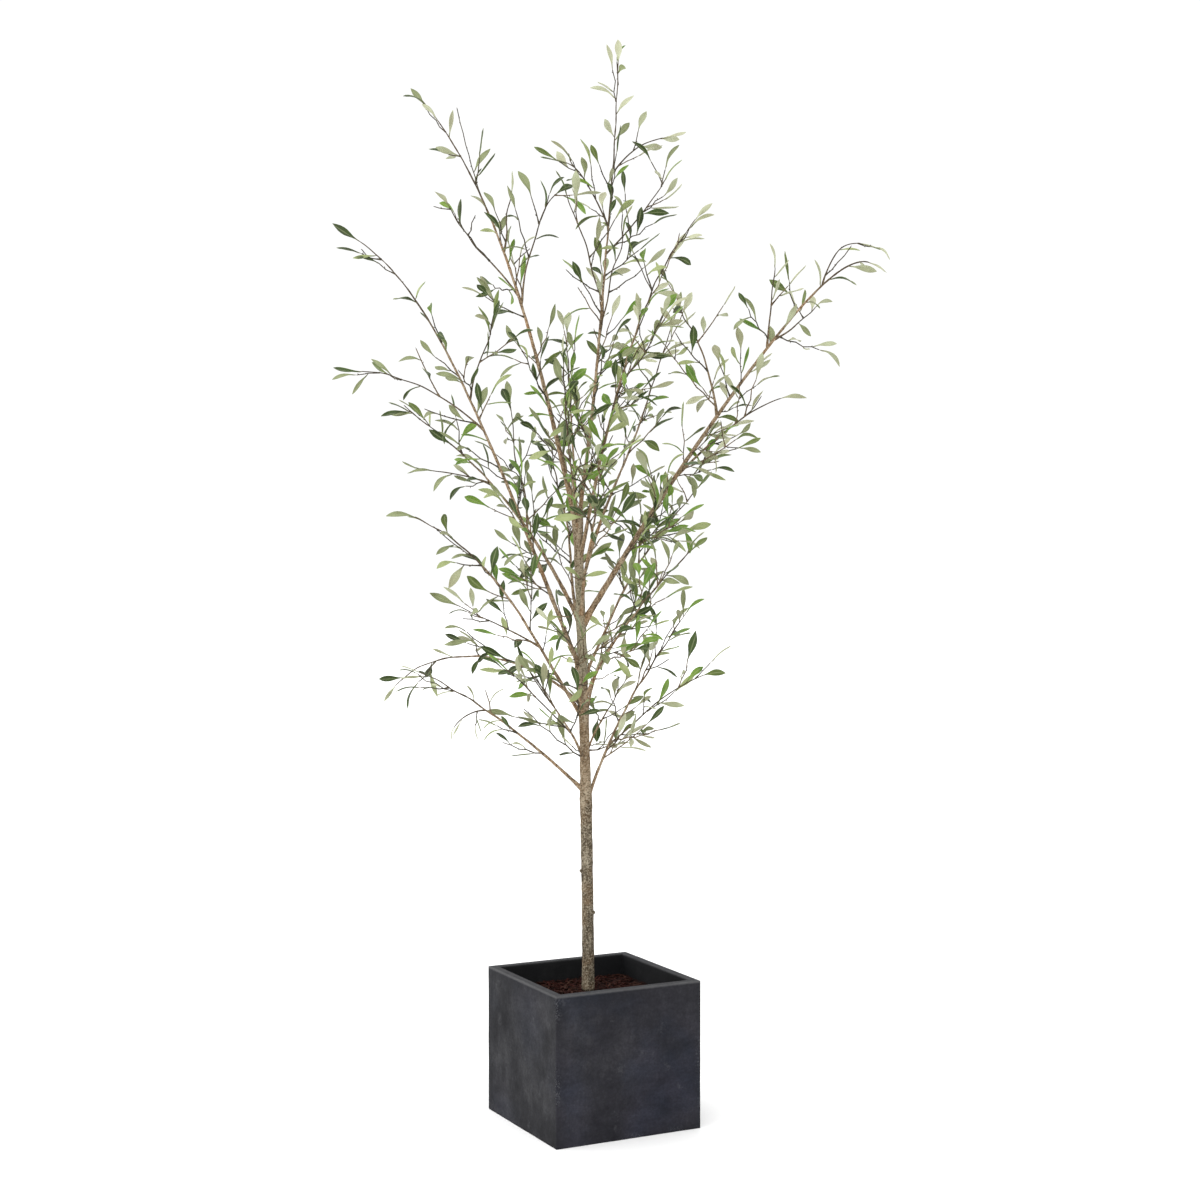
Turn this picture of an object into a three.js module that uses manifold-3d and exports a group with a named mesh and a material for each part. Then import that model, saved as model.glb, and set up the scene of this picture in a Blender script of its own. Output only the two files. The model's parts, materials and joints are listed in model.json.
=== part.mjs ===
// A slim olive tree of the artificial kind in a square planter: one trunk, tapering boughs that
// rise from it, open leafy sprays that grow on from the boughs, and a fill below the planter's rim.
// Millimetres, +Z up. The origin is the middle of the planter's flat underside.

import * as THREE from "three";
import { mergeVertices } from "three/addons/utils/BufferGeometryUtils.js";
import Module from "manifold-3d";

const wasm = await Module();
wasm.setup();

// Driving dimensions, in millimetres and degrees.
const GAP = 0.3; // between pieces that touch
const TREE_TURN = -27.2; // the tree's widest side against the planter's sides

const PLANTER = { side: 356, height: 330, wall: 20, floor: 22, corner: 3 };
const FILL = { belowRim: 42, relief: 6, cells: 7, levelRadius: 34 };

const TRUNK = { footX: -10, top: 1371, lean: -25, leanPower: 1.7, sides: 9, rings: 16 };
// Radius of the trunk at shares of its height: flared foot, swell under the lowest boughs, fork.
const TRUNK_GIRTH = [
  [0, 15.6], [0.025, 13.8], [0.1, 13.2], [0.4, 13], [0.5, 10.5], [0.93, 9.8], [1, 12.6],
];
const STUB = { radius: 4, length: 21, rise: 38, sides: 8 };
const STUBS = [{ height: 552, heading: 195 }, { height: 458, heading: -20 }];

const LIMB = { hold: [0.35, 0.33], tipRadius: 1.3, taper: 0.8, sideShare: 0.62, wave: 7 };
const LIMB_BUILD = { ringEvery: 95, fewestRings: 2, mainSides: 6, sideSides: 4, seedStep: 100 };
const END_LEAF = { takes: 34, sunk: 5 }; // its share of a limb's way, and its root within the wood
const TWIG = { pitch: 96, stride: [0.75, 1.25], first: 24 };
const TWIG_REACH = { longest: 165, ofLimb: 0.5, shortest: 30, shrink: 0.8 };
const TWIG_WAY = { spread: [0.6, 1.2], splay: [34, 58], turn: 137.5, sway: 25, leafBelow: 45 };
const TWIG_SHAPE = { lift: 0.14, radius: 1.8, share: 0.9, endRadius: 1.2, tries: [1, 0.65, 0.4] };
const LEAF = { length: [54, 72], width: 0.29, depth: 1.2, droop: 0.07, widest: 0.54, sunk: 0.6 };
const LEAF_WAY = { pitch: 26, splay: [28, 56], roll: 90, turn: 150 };
// Balls along a leaf: the share of its length and of its width that each takes.
const LEAF_BALLS = [[0.25, 0.5], [0.42, 0.85], [0.57, 1], [0.75, 0.65], [0.95, 0.2]];
const SPACE = { clear: 1.5, ballEvery: 7 };

// The limbs, in the tree's own view: X to the right, Y away, Z up. A limb on the trunk leaves the
// trunk's axis at a height; one on a limb leaves it at a share of its way. The rise is the climb at
// both ends, and hold is the share of the span for which each end keeps its climb. The first stretch
// of a limb that has bare wood is its bough; the foliage grows from the rest.
const LIMBS = [
  { name: "leader", at: 1345, shift: 2, tip: [60, 20, 2405], rise: [82, 87], radius: 4.8, bare: 150 },
  { name: "leader_right_low", on: "leader", at: 0.56, tip: [170, -60, 2130], rise: [42, 72] },
  { name: "leader_right_high", on: "leader", at: 0.73, tip: [190, 60, 2215], rise: [58, 0] },
  { name: "leader_left_high", on: "leader", at: 0.62, tip: [-90, 70, 2155], rise: [62, -25] },
  { name: "leader_left_low", on: "leader", at: 0.46, tip: [-60, -90, 2095], rise: [66, 72] },
  { name: "leader_front", on: "leader", at: 0.4, tip: [70, -130, 2010], rise: [62, 80] },
  { name: "leader_back", on: "leader", at: 0.31, tip: [30, 150, 1945], rise: [55, 70] },
  {
    name: "high_left", at: 1345, shift: -2, tip: [-405, 180, 2335], rise: [75, 48],
    radius: 6.4, bare: 140,
  },
  { name: "high_left_out", on: "high_left", at: 0.48, tip: [-350, 210, 2110], rise: [48, 62] },
  { name: "high_left_in", on: "high_left", at: 0.46, tip: [-55, -10, 2090], rise: [80, 15] },
  { name: "high_left_up", on: "high_left", at: 0.58, tip: [-180, 40, 2120], rise: [75, 70] },
  { name: "upright", at: 1310, tip: [-65, -150, 1730], rise: [68, 84], radius: 2.6 },
  { name: "high_right", at: 1252, tip: [240, -230, 2010], rise: [74, 38], radius: 4.6, bare: 130 },
  { name: "high_right_low", on: "high_right", at: 0.41, tip: [155, -330, 1805], rise: [50, 62] },
  {
    name: "great_right", at: 1112, tip: [660, 150, 1922], rise: [58, -62], hold: [0.4, 0.16],
    radius: 7.2, bare: 180,
  },
  {
    name: "great_right_fork", on: "great_right", at: 0.71, tip: [630, 60, 1962], rise: [76, -44],
    hold: [0.5, 0.5],
  },
  { name: "great_right_up", on: "great_right", at: 0.53, tip: [410, 20, 1950], rise: [72, 74] },
  { name: "great_right_out", on: "great_right", at: 0.55, tip: [535, 230, 1875], rise: [22, 48] },
  { name: "great_right_low", on: "great_right", at: 0.28, tip: [455, 0, 1630], rise: [42, 8] },
  { name: "great_right_in", on: "great_right", at: 0.39, tip: [185, 260, 1920], rise: [84, 66] },
  { name: "inner_left", at: 1112, tip: [-460, 260, 1625], rise: [63, 28], radius: 5, bare: 130 },
  { name: "inner_left_low", on: "inner_left", at: 0.54, tip: [-415, 140, 1475], rise: [28, 14] },
  { name: "inner_left_up", on: "inner_left", at: 0.35, tip: [-200, 330, 1660], rise: [70, 84] },
  {
    name: "great_left", at: 1004, tip: [-540, -120, 1975], rise: [67, 25], hold: [0.4, 0.22],
    radius: 5.4, bare: 170,
  },
  { name: "great_left_out", on: "great_left", at: 0.45, tip: [-545, -40, 1680], rise: [44, -4] },
  { name: "great_left_up", on: "great_left", at: 0.51, tip: [-205, -190, 1805], rise: [76, 72] },
  { name: "low_left", at: 904, tip: [-410, -200, 1365], rise: [55, 14], radius: 4.6, bare: 100 },
  { name: "low_left_under", on: "low_left", at: 0.29, tip: [-330, -60, 1175], rise: [32, 26] },
  {
    name: "arch_left", at: 930, tip: [-475, 150, 940], rise: [46, -62], hold: [0.45, 0.3],
    radius: 3.4, bare: 90,
  },
  { name: "lowest_left", at: 739, tip: [-415, -60, 1030], rise: [44, 24], radius: 4.2, bare: 110 },
  { name: "lowest_left_under", on: "lowest_left", at: 0.58, tip: [-330, 30, 860], rise: [0, -55] },
  { name: "lowest_right", at: 708, tip: [230, 80, 1170], rise: [74, 56], radius: 4, bare: 90 },
  { name: "lowest_right_out", on: "lowest_right", at: 0.27, tip: [270, -120, 1020], rise: [38, 14] },
  { name: "small_left", at: 800, tip: [-145, -200, 1045], rise: [60, 46], radius: 3.4 },
  { name: "small_left_out", on: "small_left", at: 0.27, tip: [-210, -90, 1045], rise: [46, 44] },
  { name: "mid_right", at: 940, tip: [235, -220, 1305], rise: [64, 36], radius: 3.8, bare: 90 },
  { name: "mid_right_back", at: 985, tip: [265, 210, 1450], rise: [66, 40], radius: 3.8, bare: 100 },
  { name: "inner_right", at: 1195, tip: [205, 330, 1875], rise: [64, 66], radius: 4.2, bare: 120 },
  { name: "small_right", at: 815, tip: [85, 240, 995], rise: [50, 38], radius: 2.8 },
  { name: "front", at: 1130, tip: [25, -400, 1480], rise: [58, 42], radius: 4.2, bare: 90 },
  { name: "front_low", at: 905, tip: [-75, -330, 1190], rise: [52, 30], radius: 3.4, bare: 70 },
  { name: "back", at: 1055, tip: [-110, 420, 1575], rise: [58, 44], radius: 4.4, bare: 100 },
  { name: "back_low", at: 870, tip: [45, 360, 1135], rise: [50, 32], radius: 3.4, bare: 70 },
  { name: "back_high", at: 1250, tip: [-65, 330, 1830], rise: [66, 64], radius: 4.2, bare: 100 },
];

const COLOURS = {
  planter: { color: 0x45464b, roughness: 0.82, metalness: 0 },
  fill: { color: 0x5a3626, roughness: 0.95, metalness: 0 },
  trunk: { color: 0x84776a, roughness: 0.85, metalness: 0 },
  bough: { color: 0x8f6f55, roughness: 0.8, metalness: 0 },
  foliage: { color: 0x6f9450, roughness: 0.6, metalness: 0 },
};

const { degToRad, lerp } = THREE.MathUtils;
const UP = new THREE.Vector3(0, 0, 1);
const STEEP = 0.95; // a way that runs along an axis by more than this takes its sides from another
const WELD = 1e-5; // corners nearer than this are one
const SIDE_OF_THREE = Math.sin(Math.PI / 3); // reach of a three-sided ring to either side
const fillTop = PLANTER.height - FILL.belowRim;
const trunkFoot = fillTop + GAP;

// Seeded draws between 0 and 1; the same seed always gives the same row of draws.
function seeded(seed) {
  const modulus = 2147483647;
  let state = (seed * 48271 + 11) % modulus;
  return () => {
    state = (state * 16807) % modulus;
    return state / modulus;
  };
}

function between([low, high], draw) {
  return lerp(low, high, draw);
}

// The value at a share of the way through a short row of [share, value] pairs.
function profile(pairs, share) {
  const next = Math.max(1, pairs.findIndex((pair) => pair[0] >= share));
  const [s0, v0] = pairs[next - 1];
  const [s1, v1] = pairs[next];
  return lerp(v0, v1, (share - s0) / (s1 - s0));
}

// Solids and back

function solidOf(geometry) {
  const bare = geometry.clone();
  bare.deleteAttribute("normal");
  bare.deleteAttribute("uv");
  const welded = mergeVertices(bare, WELD);
  const vertProperties = new Float32Array(welded.attributes.position.array);
  const triVerts = new Uint32Array(welded.index.array);
  return new wasm.Manifold(new wasm.Mesh({ numProp: 3, vertProperties, triVerts }));
}

// The largest body of a fused solid, as a geometry.
function geometryOf(solid) {
  const bodies = solid.decompose().sort((a, b) => b.volume() - a.volume());
  const mesh = bodies[0].getMesh();
  const geometry = new THREE.BufferGeometry();
  geometry.setAttribute("position", new THREE.BufferAttribute(new Float32Array(mesh.vertProperties), 3));
  geometry.setIndex(new THREE.BufferAttribute(new Uint32Array(mesh.triVerts), 1));
  geometry.computeVertexNormals();
  return geometry;
}

function join(solids) {
  return solids.reduce((whole, piece) => whole.add(piece));
}

function piece(name, geometry, look) {
  const mesh = new THREE.Mesh(geometry, new THREE.MeshStandardMaterial(COLOURS[look]));
  mesh.name = name;
  return mesh;
}

// A round limb along a curve, from one share of its way to another: a cylinder bent onto the curve.
function tube(curve, from, to, radiusAt, sides, rings) {
  const geometry = new THREE.CylinderGeometry(1, 1, 1, sides, rings);
  const ways = [];
  let across = new THREE.Vector3(1, 0, 0);
  for (let ring = 0; ring <= rings; ring++) {
    const share = lerp(from, to, ring / rings);
    const ahead = curve.getTangent(share);
    if (ring === 0 && Math.abs(ahead.x) > STEEP) {
      across.set(0, 1, 0);
    }
    across = across.clone().addScaledVector(ahead, -across.dot(ahead)).normalize();
    const beside = new THREE.Vector3().crossVectors(across, ahead);
    ways.push({ middle: curve.getPoint(share), across, beside, radius: radiusAt(share) });
  }
  const at = geometry.attributes.position;
  const point = new THREE.Vector3();
  for (let i = 0; i < at.count; i++) {
    point.fromBufferAttribute(at, i);
    const way = ways[Math.round((point.y + 0.5) * rings)];
    const place = way.middle.clone();
    place.addScaledVector(way.across, point.x * way.radius);
    place.addScaledVector(way.beside, point.z * way.radius);
    at.setXYZ(i, place.x, place.y, place.z);
  }
  return geometry;
}

// Trunk

function trunkPoint(height) {
  const share = (height - trunkFoot) / (TRUNK.top - trunkFoot);
  const lean = TRUNK.lean * Math.max(0, share) ** TRUNK.leanPower;
  return new THREE.Vector3(TRUNK.footX + lean, 0, height);
}

class TrunkCurve extends THREE.Curve {
  getPoint(share) {
    return trunkPoint(lerp(trunkFoot, TRUNK.top, share));
  }

  // Every ring lies level, so that the foot and the fork are flat cuts.
  getTangent() {
    return UP.clone();
  }
}

function trunkGeometry(grown) {
  const radiusAt = (share) => profile(TRUNK_GIRTH, share) + grown;
  return tube(new TrunkCurve(), 0, 1, radiusAt, TRUNK.sides, TRUNK.rings);
}

function wayOf(heading, rise) {
  const turn = degToRad(heading);
  const climb = degToRad(rise);
  const level = Math.cos(climb);
  return new THREE.Vector3(Math.cos(turn) * level, Math.sin(turn) * level, Math.sin(climb));
}

// The end that was left where a bough was cut off.
function stubSolid({ height, heading }) {
  const start = trunkPoint(height);
  const end = start.clone().addScaledVector(wayOf(heading, STUB.rise), STUB.length);
  const curve = new THREE.LineCurve3(start, end);
  return solidOf(tube(curve, 0, 1, () => STUB.radius, STUB.sides, 1));
}

const trunkSolid = join([solidOf(trunkGeometry(0)), ...STUBS.map(stubSolid)]);
const trunkRoom = solidOf(trunkGeometry(GAP));

// Limbs

// A curve that leaves its start and reaches its tip at given climbs, with a slight wave sideways.
class LimbCurve extends THREE.Curve {
  constructor(start, tip, rise, hold, wave) {
    super();
    const span = tip.distanceTo(start);
    const heading = THREE.MathUtils.radToDeg(Math.atan2(tip.y - start.y, tip.x - start.x));
    const leave = start.clone().addScaledVector(wayOf(heading, rise[0]), span * hold[0]);
    const reach = tip.clone().addScaledVector(wayOf(heading, rise[1]), -span * hold[1]);
    this.spine = new THREE.CubicBezierCurve3(start, leave, reach, tip);
    this.aside = wayOf(heading + 90, 0).multiplyScalar(wave);
  }

  getPoint(share) {
    const sway = Math.sin(Math.PI * share) * Math.sin(3 * Math.PI * share);
    return this.spine.getPoint(share).addScaledVector(this.aside, sway);
  }
}

const limbs = new Map();
LIMBS.forEach((row, order) => {
  const seed = order * LIMB_BUILD.seedStep;
  const parent = limbs.get(row.on);
  const start = parent ? parent.curve.getPoint(row.at) : trunkPoint(row.at);
  start.x += row.shift ?? 0;
  const wave = LIMB.wave * between([-1, 1], seeded(seed)());
  const curve = new LimbCurve(start, new THREE.Vector3(...row.tip), row.rise, row.hold ?? LIMB.hold, wave);
  const length = curve.getLength();
  const bare = row.bare ?? 0;
  const radius = row.radius ?? parent.radiusAt(row.at) * LIMB.sideShare;
  limbs.set(row.name, {
    ...row,
    seed,
    curve,
    length,
    bare,
    wood: length - END_LEAF.takes,
    bareShare: curve.getUtoTmapping(bare / length),
    woodShare: curve.getUtoTmapping(1 - END_LEAF.takes / length),
    mass: parent ? parent.mass : row.name,
    radiusAt: (share) => lerp(radius, LIMB.tipRadius, share ** LIMB.taper),
  });
});

// What stands in the crown, as balls that follow each limb, twig and leaf. Bare wood belongs to no
// mass, so that the foliage of every mass keeps clear of it.
const balls = [];
for (let height = trunkFoot; height < TRUNK.top; height += SPACE.ballEvery) {
  const share = (height - trunkFoot) / (TRUNK.top - trunkFoot);
  balls.push({ point: trunkPoint(height), radius: profile(TRUNK_GIRTH, share) });
}
for (const limb of limbs.values()) {
  const count = Math.ceil(limb.length / SPACE.ballEvery);
  for (let i = 0; i <= count; i++) {
    const share = i / count;
    const mass = share > limb.bareShare ? limb.mass : undefined;
    balls.push({ point: limb.curve.getPoint(share), radius: limb.radiusAt(share), mass });
  }
}

// Whether a row of balls keeps clear of bare wood and of every other mass.
function hasRoom(row, mass) {
  return row.every(({ point, radius }) =>
    balls.every((ball) => {
      const least = ball.radius + radius + SPACE.clear;
      return (mass && ball.mass === mass) || ball.point.distanceToSquared(point) > least * least;
    }),
  );
}

// Foliage

// Turns a way aside by an angle, towards the side that a turn about the way gives.
function splayed(ahead, splay, turn) {
  const level = Math.abs(ahead.z) > STEEP ? new THREE.Vector3(1, 0, 0) : UP;
  const beside = new THREE.Vector3().crossVectors(ahead, level).normalize();
  beside.applyAxisAngle(ahead, degToRad(turn));
  return ahead.clone().applyAxisAngle(beside, degToRad(splay));
}

// A three-sided shoot from a point over rings, each with a middle, a width and a depth, to a point.
function shoot(rings) {
  const steps = rings.length - 1;
  const geometry = new THREE.SphereGeometry(1, 3, steps);
  const at = geometry.attributes.position;
  for (let i = 0; i < at.count; i++) {
    const [x, y, z] = [at.getX(i), at.getY(i), at.getZ(i)];
    const order = Math.round(steps - (steps * Math.acos(y)) / Math.PI);
    const { middle, across, above, wide, deep } = rings[order];
    const place = middle.clone();
    if (order > 0 && order < steps) {
      const out = Math.hypot(x, z);
      place.addScaledVector(above, (x / out) * deep);
      place.addScaledVector(across, (-z / out) * wide);
    }
    at.setXYZ(i, place.x, place.y, place.z);
  }
  return solidOf(geometry);
}

// The ways across and above a leaf that points ahead, turned about its length by a roll.
function leafWays(ahead, roll) {
  const level = Math.abs(ahead.z) > STEEP ? new THREE.Vector3(1, 0, 0) : UP;
  const across = new THREE.Vector3().crossVectors(ahead, level).normalize();
  across.applyAxisAngle(ahead, degToRad(roll));
  return { across, above: new THREE.Vector3().crossVectors(across, ahead) };
}

// A leaf's rings, from its root over its widest part to its drooping tip, and its balls.
function leafOf(root, ahead, roll, mass, draw) {
  const length = between(LEAF.length, draw());
  const ways = leafWays(ahead, roll);
  const broad = root.clone().addScaledVector(ahead, length * LEAF.widest);
  const tip = root.clone().addScaledVector(ahead, length).addScaledVector(ways.above, -length * LEAF.droop);
  const half = (LEAF.width * length) / 2;
  const widest = { middle: broad, wide: half / SIDE_OF_THREE, deep: LEAF.depth, ...ways };
  const rings = [{ middle: root }, widest, { middle: tip }];
  const row = LEAF_BALLS.map(([along, wide]) => ({
    point: root.clone().lerp(tip, along),
    radius: wide * half,
    mass,
  }));
  return { rings, row };
}

function rollOf(draw) {
  return LEAF_WAY.roll * between([-1, 1], draw());
}

// A leaf on the side of a twig or limb, as a solid in a list, or nothing where it has no room.
function sideLeaf(curve, way, splay, turn, mass, draw) {
  const ahead = splayed(curve.getTangent(way), splay, turn);
  const root = curve.getPoint(way).addScaledVector(ahead, -LEAF.sunk);
  const { rings, row } = leafOf(root, ahead, rollOf(draw), mass, draw);
  if (!hasRoom(row, mass)) {
    return [];
  }
  balls.push(...row);
  return [shoot(rings)];
}

// One twig of a limb, which ends in a leaf and bears others. It grows as far as there is room.
function twigSolids(limb, share, splay, turn, fullLength, draw) {
  const { mass } = limb;
  const start = limb.curve.getPoint(share);
  const ahead = splayed(limb.curve.getTangent(share), splay, turn);
  const roll = rollOf(draw);
  let leafTurn = 360 * draw();
  for (const part of TWIG_SHAPE.tries) {
    const length = fullLength * part;
    const middle = start.clone().addScaledVector(ahead, length / 2);
    const end = start.clone().addScaledVector(ahead, length).addScaledVector(UP, length * TWIG_SHAPE.lift);
    const curve = new THREE.QuadraticBezierCurve3(start, middle, end);
    const count = Math.ceil(length / SPACE.ballEvery);
    const row = Array.from({ length: count }, (_, i) => ({
      point: curve.getPoint((i + 1) / count),
      radius: TWIG_SHAPE.radius,
      mass,
    }));
    const last = leafOf(end, curve.getTangent(1), roll, mass, draw);
    if (hasRoom([...row, ...last.row], mass)) {
      balls.push(...row, ...last.row);
      const ways = leafWays(ahead, roll);
      const [, broad, tip] = last.rings;
      const radius = Math.min(TWIG_SHAPE.radius, limb.radiusAt(share) * TWIG_SHAPE.share);
      const out = (limb.radiusAt(share) + radius) / length;
      const collar = { middle: curve.getPoint(out), wide: radius, deep: radius, ...ways };
      const neck = { middle: end, wide: TWIG_SHAPE.endRadius, deep: TWIG_SHAPE.endRadius, ...ways };
      const solids = [shoot([{ middle: start }, collar, neck, broad, tip])];
      const leaves = Math.floor(length / LEAF_WAY.pitch);
      for (let i = 1; i <= leaves; i++) {
        leafTurn += LEAF_WAY.turn;
        const leafSplay = between(LEAF_WAY.splay, draw());
        solids.push(...sideLeaf(curve, i / (leaves + 1), leafSplay, leafTurn, mass, draw));
      }
      return solids;
    }
  }
  return [];
}

// All twigs of a limb, shorter towards its tip, each turned on from the last. Where a twig would be
// very short, a leaf sits on the limb itself.
function limbTwigs(limb) {
  const solids = [];
  const longest = Math.min(TWIG_REACH.longest, limb.length * TWIG_REACH.ofLimb);
  let along = limb.bare + TWIG.first;
  let turn = 0;
  for (let order = 1; along < limb.wood; order++) {
    const draw = seeded(limb.seed + order);
    const share = limb.curve.getUtoTmapping(along / limb.length);
    const splay = between(TWIG_WAY.splay, draw());
    const reach = lerp(longest, TWIG_REACH.shortest, (along / limb.length) ** TWIG_REACH.shrink);
    const length = reach * between(TWIG_WAY.spread, draw());
    turn += TWIG_WAY.turn + TWIG_WAY.sway * between([-1, 1], draw());
    const grown =
      length < TWIG_WAY.leafBelow
        ? sideLeaf(limb.curve, share, splay, turn, limb.mass, draw)
        : twigSolids(limb, share, splay, turn, length, draw);
    solids.push(...grown);
    along += TWIG.pitch * between(TWIG.stride, draw());
  }
  return solids;
}

// The leaf that ends a limb and takes the last of its way.
function endLeaf(limb) {
  const draw = seeded(limb.seed);
  const ahead = limb.curve.getTangent(limb.woodShare);
  const root = limb.curve.getPoint(limb.woodShare).addScaledVector(ahead, -END_LEAF.sunk);
  return shoot(leafOf(root, ahead, rollOf(draw), limb.mass, draw).rings);
}

function limbSolid(limb, from, to) {
  const stretch = limb.length * (to - from);
  const sides = limb.on ? LIMB_BUILD.sideSides : LIMB_BUILD.mainSides;
  const rings = Math.max(LIMB_BUILD.fewestRings, Math.round(stretch / LIMB_BUILD.ringEvery));
  return solidOf(tube(limb.curve, from, to, limb.radiusAt, sides, rings));
}

function boughGeometry(limb) {
  return geometryOf(limbSolid(limb, 0, limb.bareShare).subtract(trunkRoom));
}

// A mass: the stem that goes on from the bough or the trunk, its side limbs, twigs and leaves.
function foliageGeometry(main) {
  const own = [...limbs.values()].filter((limb) => limb.mass === main.name);
  const solids = own.flatMap((limb) => {
    const from = limb === main && limb.bare ? limb.bareShare + GAP / limb.length : 0;
    return [limbSolid(limb, from, limb.woodShare), ...limbTwigs(limb), endLeaf(limb)];
  });
  return geometryOf(join(solids).subtract(trunkRoom));
}

// Planter and fill

function roundedSquare(side, corner) {
  const half = side / 2;
  const shape = new THREE.Shape();
  shape.moveTo(-half + corner, -half);
  shape.lineTo(half - corner, -half);
  shape.quadraticCurveTo(half, -half, half, -half + corner);
  shape.lineTo(half, half - corner);
  shape.quadraticCurveTo(half, half, half - corner, half);
  shape.lineTo(-half + corner, half);
  shape.quadraticCurveTo(-half, half, -half, half - corner);
  shape.lineTo(-half, -half + corner);
  shape.quadraticCurveTo(-half, -half, -half + corner, -half);
  return shape;
}

function planterGeometry() {
  const inner = PLANTER.side - 2 * PLANTER.wall;
  const block = { depth: PLANTER.height, bevelEnabled: false, curveSegments: 2 };
  const outside = new THREE.ExtrudeGeometry(roundedSquare(PLANTER.side, PLANTER.corner), block);
  const inside = new THREE.BoxGeometry(inner, inner, PLANTER.height);
  inside.translate(0, 0, PLANTER.height / 2 + PLANTER.floor);
  return geometryOf(solidOf(outside).subtract(solidOf(inside)));
}

// The fill, uneven on top but level where the trunk stands.
function fillGeometry() {
  const side = PLANTER.side - 2 * PLANTER.wall - 2 * GAP;
  const deep = fillTop - PLANTER.floor - GAP;
  const geometry = new THREE.BoxGeometry(side, side, deep, FILL.cells, FILL.cells, 1);
  geometry.translate(0, 0, fillTop - deep / 2);
  const foot = trunkPoint(trunkFoot).applyAxisAngle(UP, degToRad(TREE_TURN));
  const at = geometry.attributes.position;
  const draw = seeded(FILL.cells);
  for (let i = 0; i < at.count; i++) {
    const [x, y, z] = [at.getX(i), at.getY(i), at.getZ(i)];
    const rim = Math.max(Math.abs(x), Math.abs(y)) > side / 2 - 1;
    const level = Math.hypot(x - foot.x, y - foot.y) < FILL.levelRadius;
    if (z > fillTop - 1 && !rim && !level) {
      at.setZ(i, z - FILL.relief * draw());
    }
  }
  return geometryOf(solidOf(geometry));
}

const group = new THREE.Group();
group.add(piece("planter", planterGeometry(), "planter"));
group.add(piece("fill", fillGeometry(), "fill"));

const tree = new THREE.Group();
tree.rotation.z = degToRad(TREE_TURN);
tree.add(piece("trunk", geometryOf(trunkSolid), "trunk"));
for (const limb of limbs.values()) {
  if (limb.bare) {
    tree.add(piece(`bough_${limb.name}`, boughGeometry(limb), "bough"));
  }
  if (!limb.on) {
    tree.add(piece(`foliage_${limb.name}`, foliageGeometry(limb), "foliage"));
  }
}
group.add(tree);

export default group;
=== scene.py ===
# %% [markdown]
# # An artificial olive tree in a square planter
# The tree is a slim one of the kind that is made for rooms: a straight trunk, boughs that rise from it,
# thin twigs with narrow leaves, and a charcoal planter filled with shredded bark. The solids of the part
# are loaded first, as a fixed frame. Every piece that follows takes its place from the same sizes as the
# solids do, so nothing has to be fitted by eye. Lengths in the named sizes are millimetres.

# %% Load the solids
import json
import math

import bpy
import numpy as np
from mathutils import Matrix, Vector

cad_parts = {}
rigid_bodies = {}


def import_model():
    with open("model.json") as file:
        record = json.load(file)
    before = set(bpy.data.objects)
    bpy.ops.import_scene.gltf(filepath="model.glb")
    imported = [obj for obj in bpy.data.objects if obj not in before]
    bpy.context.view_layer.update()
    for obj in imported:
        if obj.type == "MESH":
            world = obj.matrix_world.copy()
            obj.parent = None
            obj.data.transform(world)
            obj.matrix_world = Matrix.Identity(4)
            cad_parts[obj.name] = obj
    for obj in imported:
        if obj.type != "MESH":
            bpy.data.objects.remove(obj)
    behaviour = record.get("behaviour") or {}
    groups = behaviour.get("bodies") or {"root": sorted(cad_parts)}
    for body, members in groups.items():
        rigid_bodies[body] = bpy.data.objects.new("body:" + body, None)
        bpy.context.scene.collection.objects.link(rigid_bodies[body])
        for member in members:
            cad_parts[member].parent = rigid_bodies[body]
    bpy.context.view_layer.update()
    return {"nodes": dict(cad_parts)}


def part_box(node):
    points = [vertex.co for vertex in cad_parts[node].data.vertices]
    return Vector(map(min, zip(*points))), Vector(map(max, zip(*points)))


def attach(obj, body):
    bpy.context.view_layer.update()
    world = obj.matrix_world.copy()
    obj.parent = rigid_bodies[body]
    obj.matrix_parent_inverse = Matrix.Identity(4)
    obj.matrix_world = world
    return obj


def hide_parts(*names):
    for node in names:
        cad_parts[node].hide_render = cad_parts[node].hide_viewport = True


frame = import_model()
MM = 0.001
print("solids:", len(frame["nodes"]))

# %% [markdown]
# An operator acts on all that is selected, and loading leaves the solids selected. So each piece starts
# with an empty selection, and faces are picked in code by where they are and where they look. These few
# helpers do that, apply the modifiers, and hand a finished piece to the part.

# %% Helpers for modelling
# A face looks some way when its normal has at least this share of that way.
FACING = 0.9


def start_fresh():
    if bpy.context.object and bpy.context.object.mode != "OBJECT":
        bpy.ops.object.mode_set(mode="OBJECT")
    bpy.ops.object.select_all(action="DESELECT")


def take(piece, *others):
    """Selects a piece, and others with it, and makes it the active one."""
    start_fresh()
    for one in (piece, *others):
        one.select_set(True)
    bpy.context.view_layer.objects.active = piece


def settled(name):
    """Names the new piece, and puts its place, turn and scale into its mesh."""
    piece = bpy.context.object
    piece.name = piece.data.name = name
    bpy.ops.object.transform_apply(location=True, rotation=True, scale=True)
    return piece


def pick(piece, kind, wanted):
    """Goes to edit mode with only those faces or corners selected that pass a test."""
    bpy.ops.object.mode_set(mode="EDIT")
    bpy.ops.mesh.select_mode(type=kind)
    bpy.ops.mesh.select_all(action="DESELECT")
    bpy.ops.object.mode_set(mode="OBJECT")
    for element in piece.data.polygons if kind == "FACE" else piece.data.vertices:
        element.select = wanted(element)
    bpy.ops.object.mode_set(mode="EDIT")


def face_outward():
    """Turns all faces of the piece in edit mode outward, and leaves that mode."""
    bpy.ops.mesh.select_all(action="SELECT")
    bpy.ops.mesh.normals_make_consistent(inside=False)
    bpy.ops.object.mode_set(mode="OBJECT")


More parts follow.
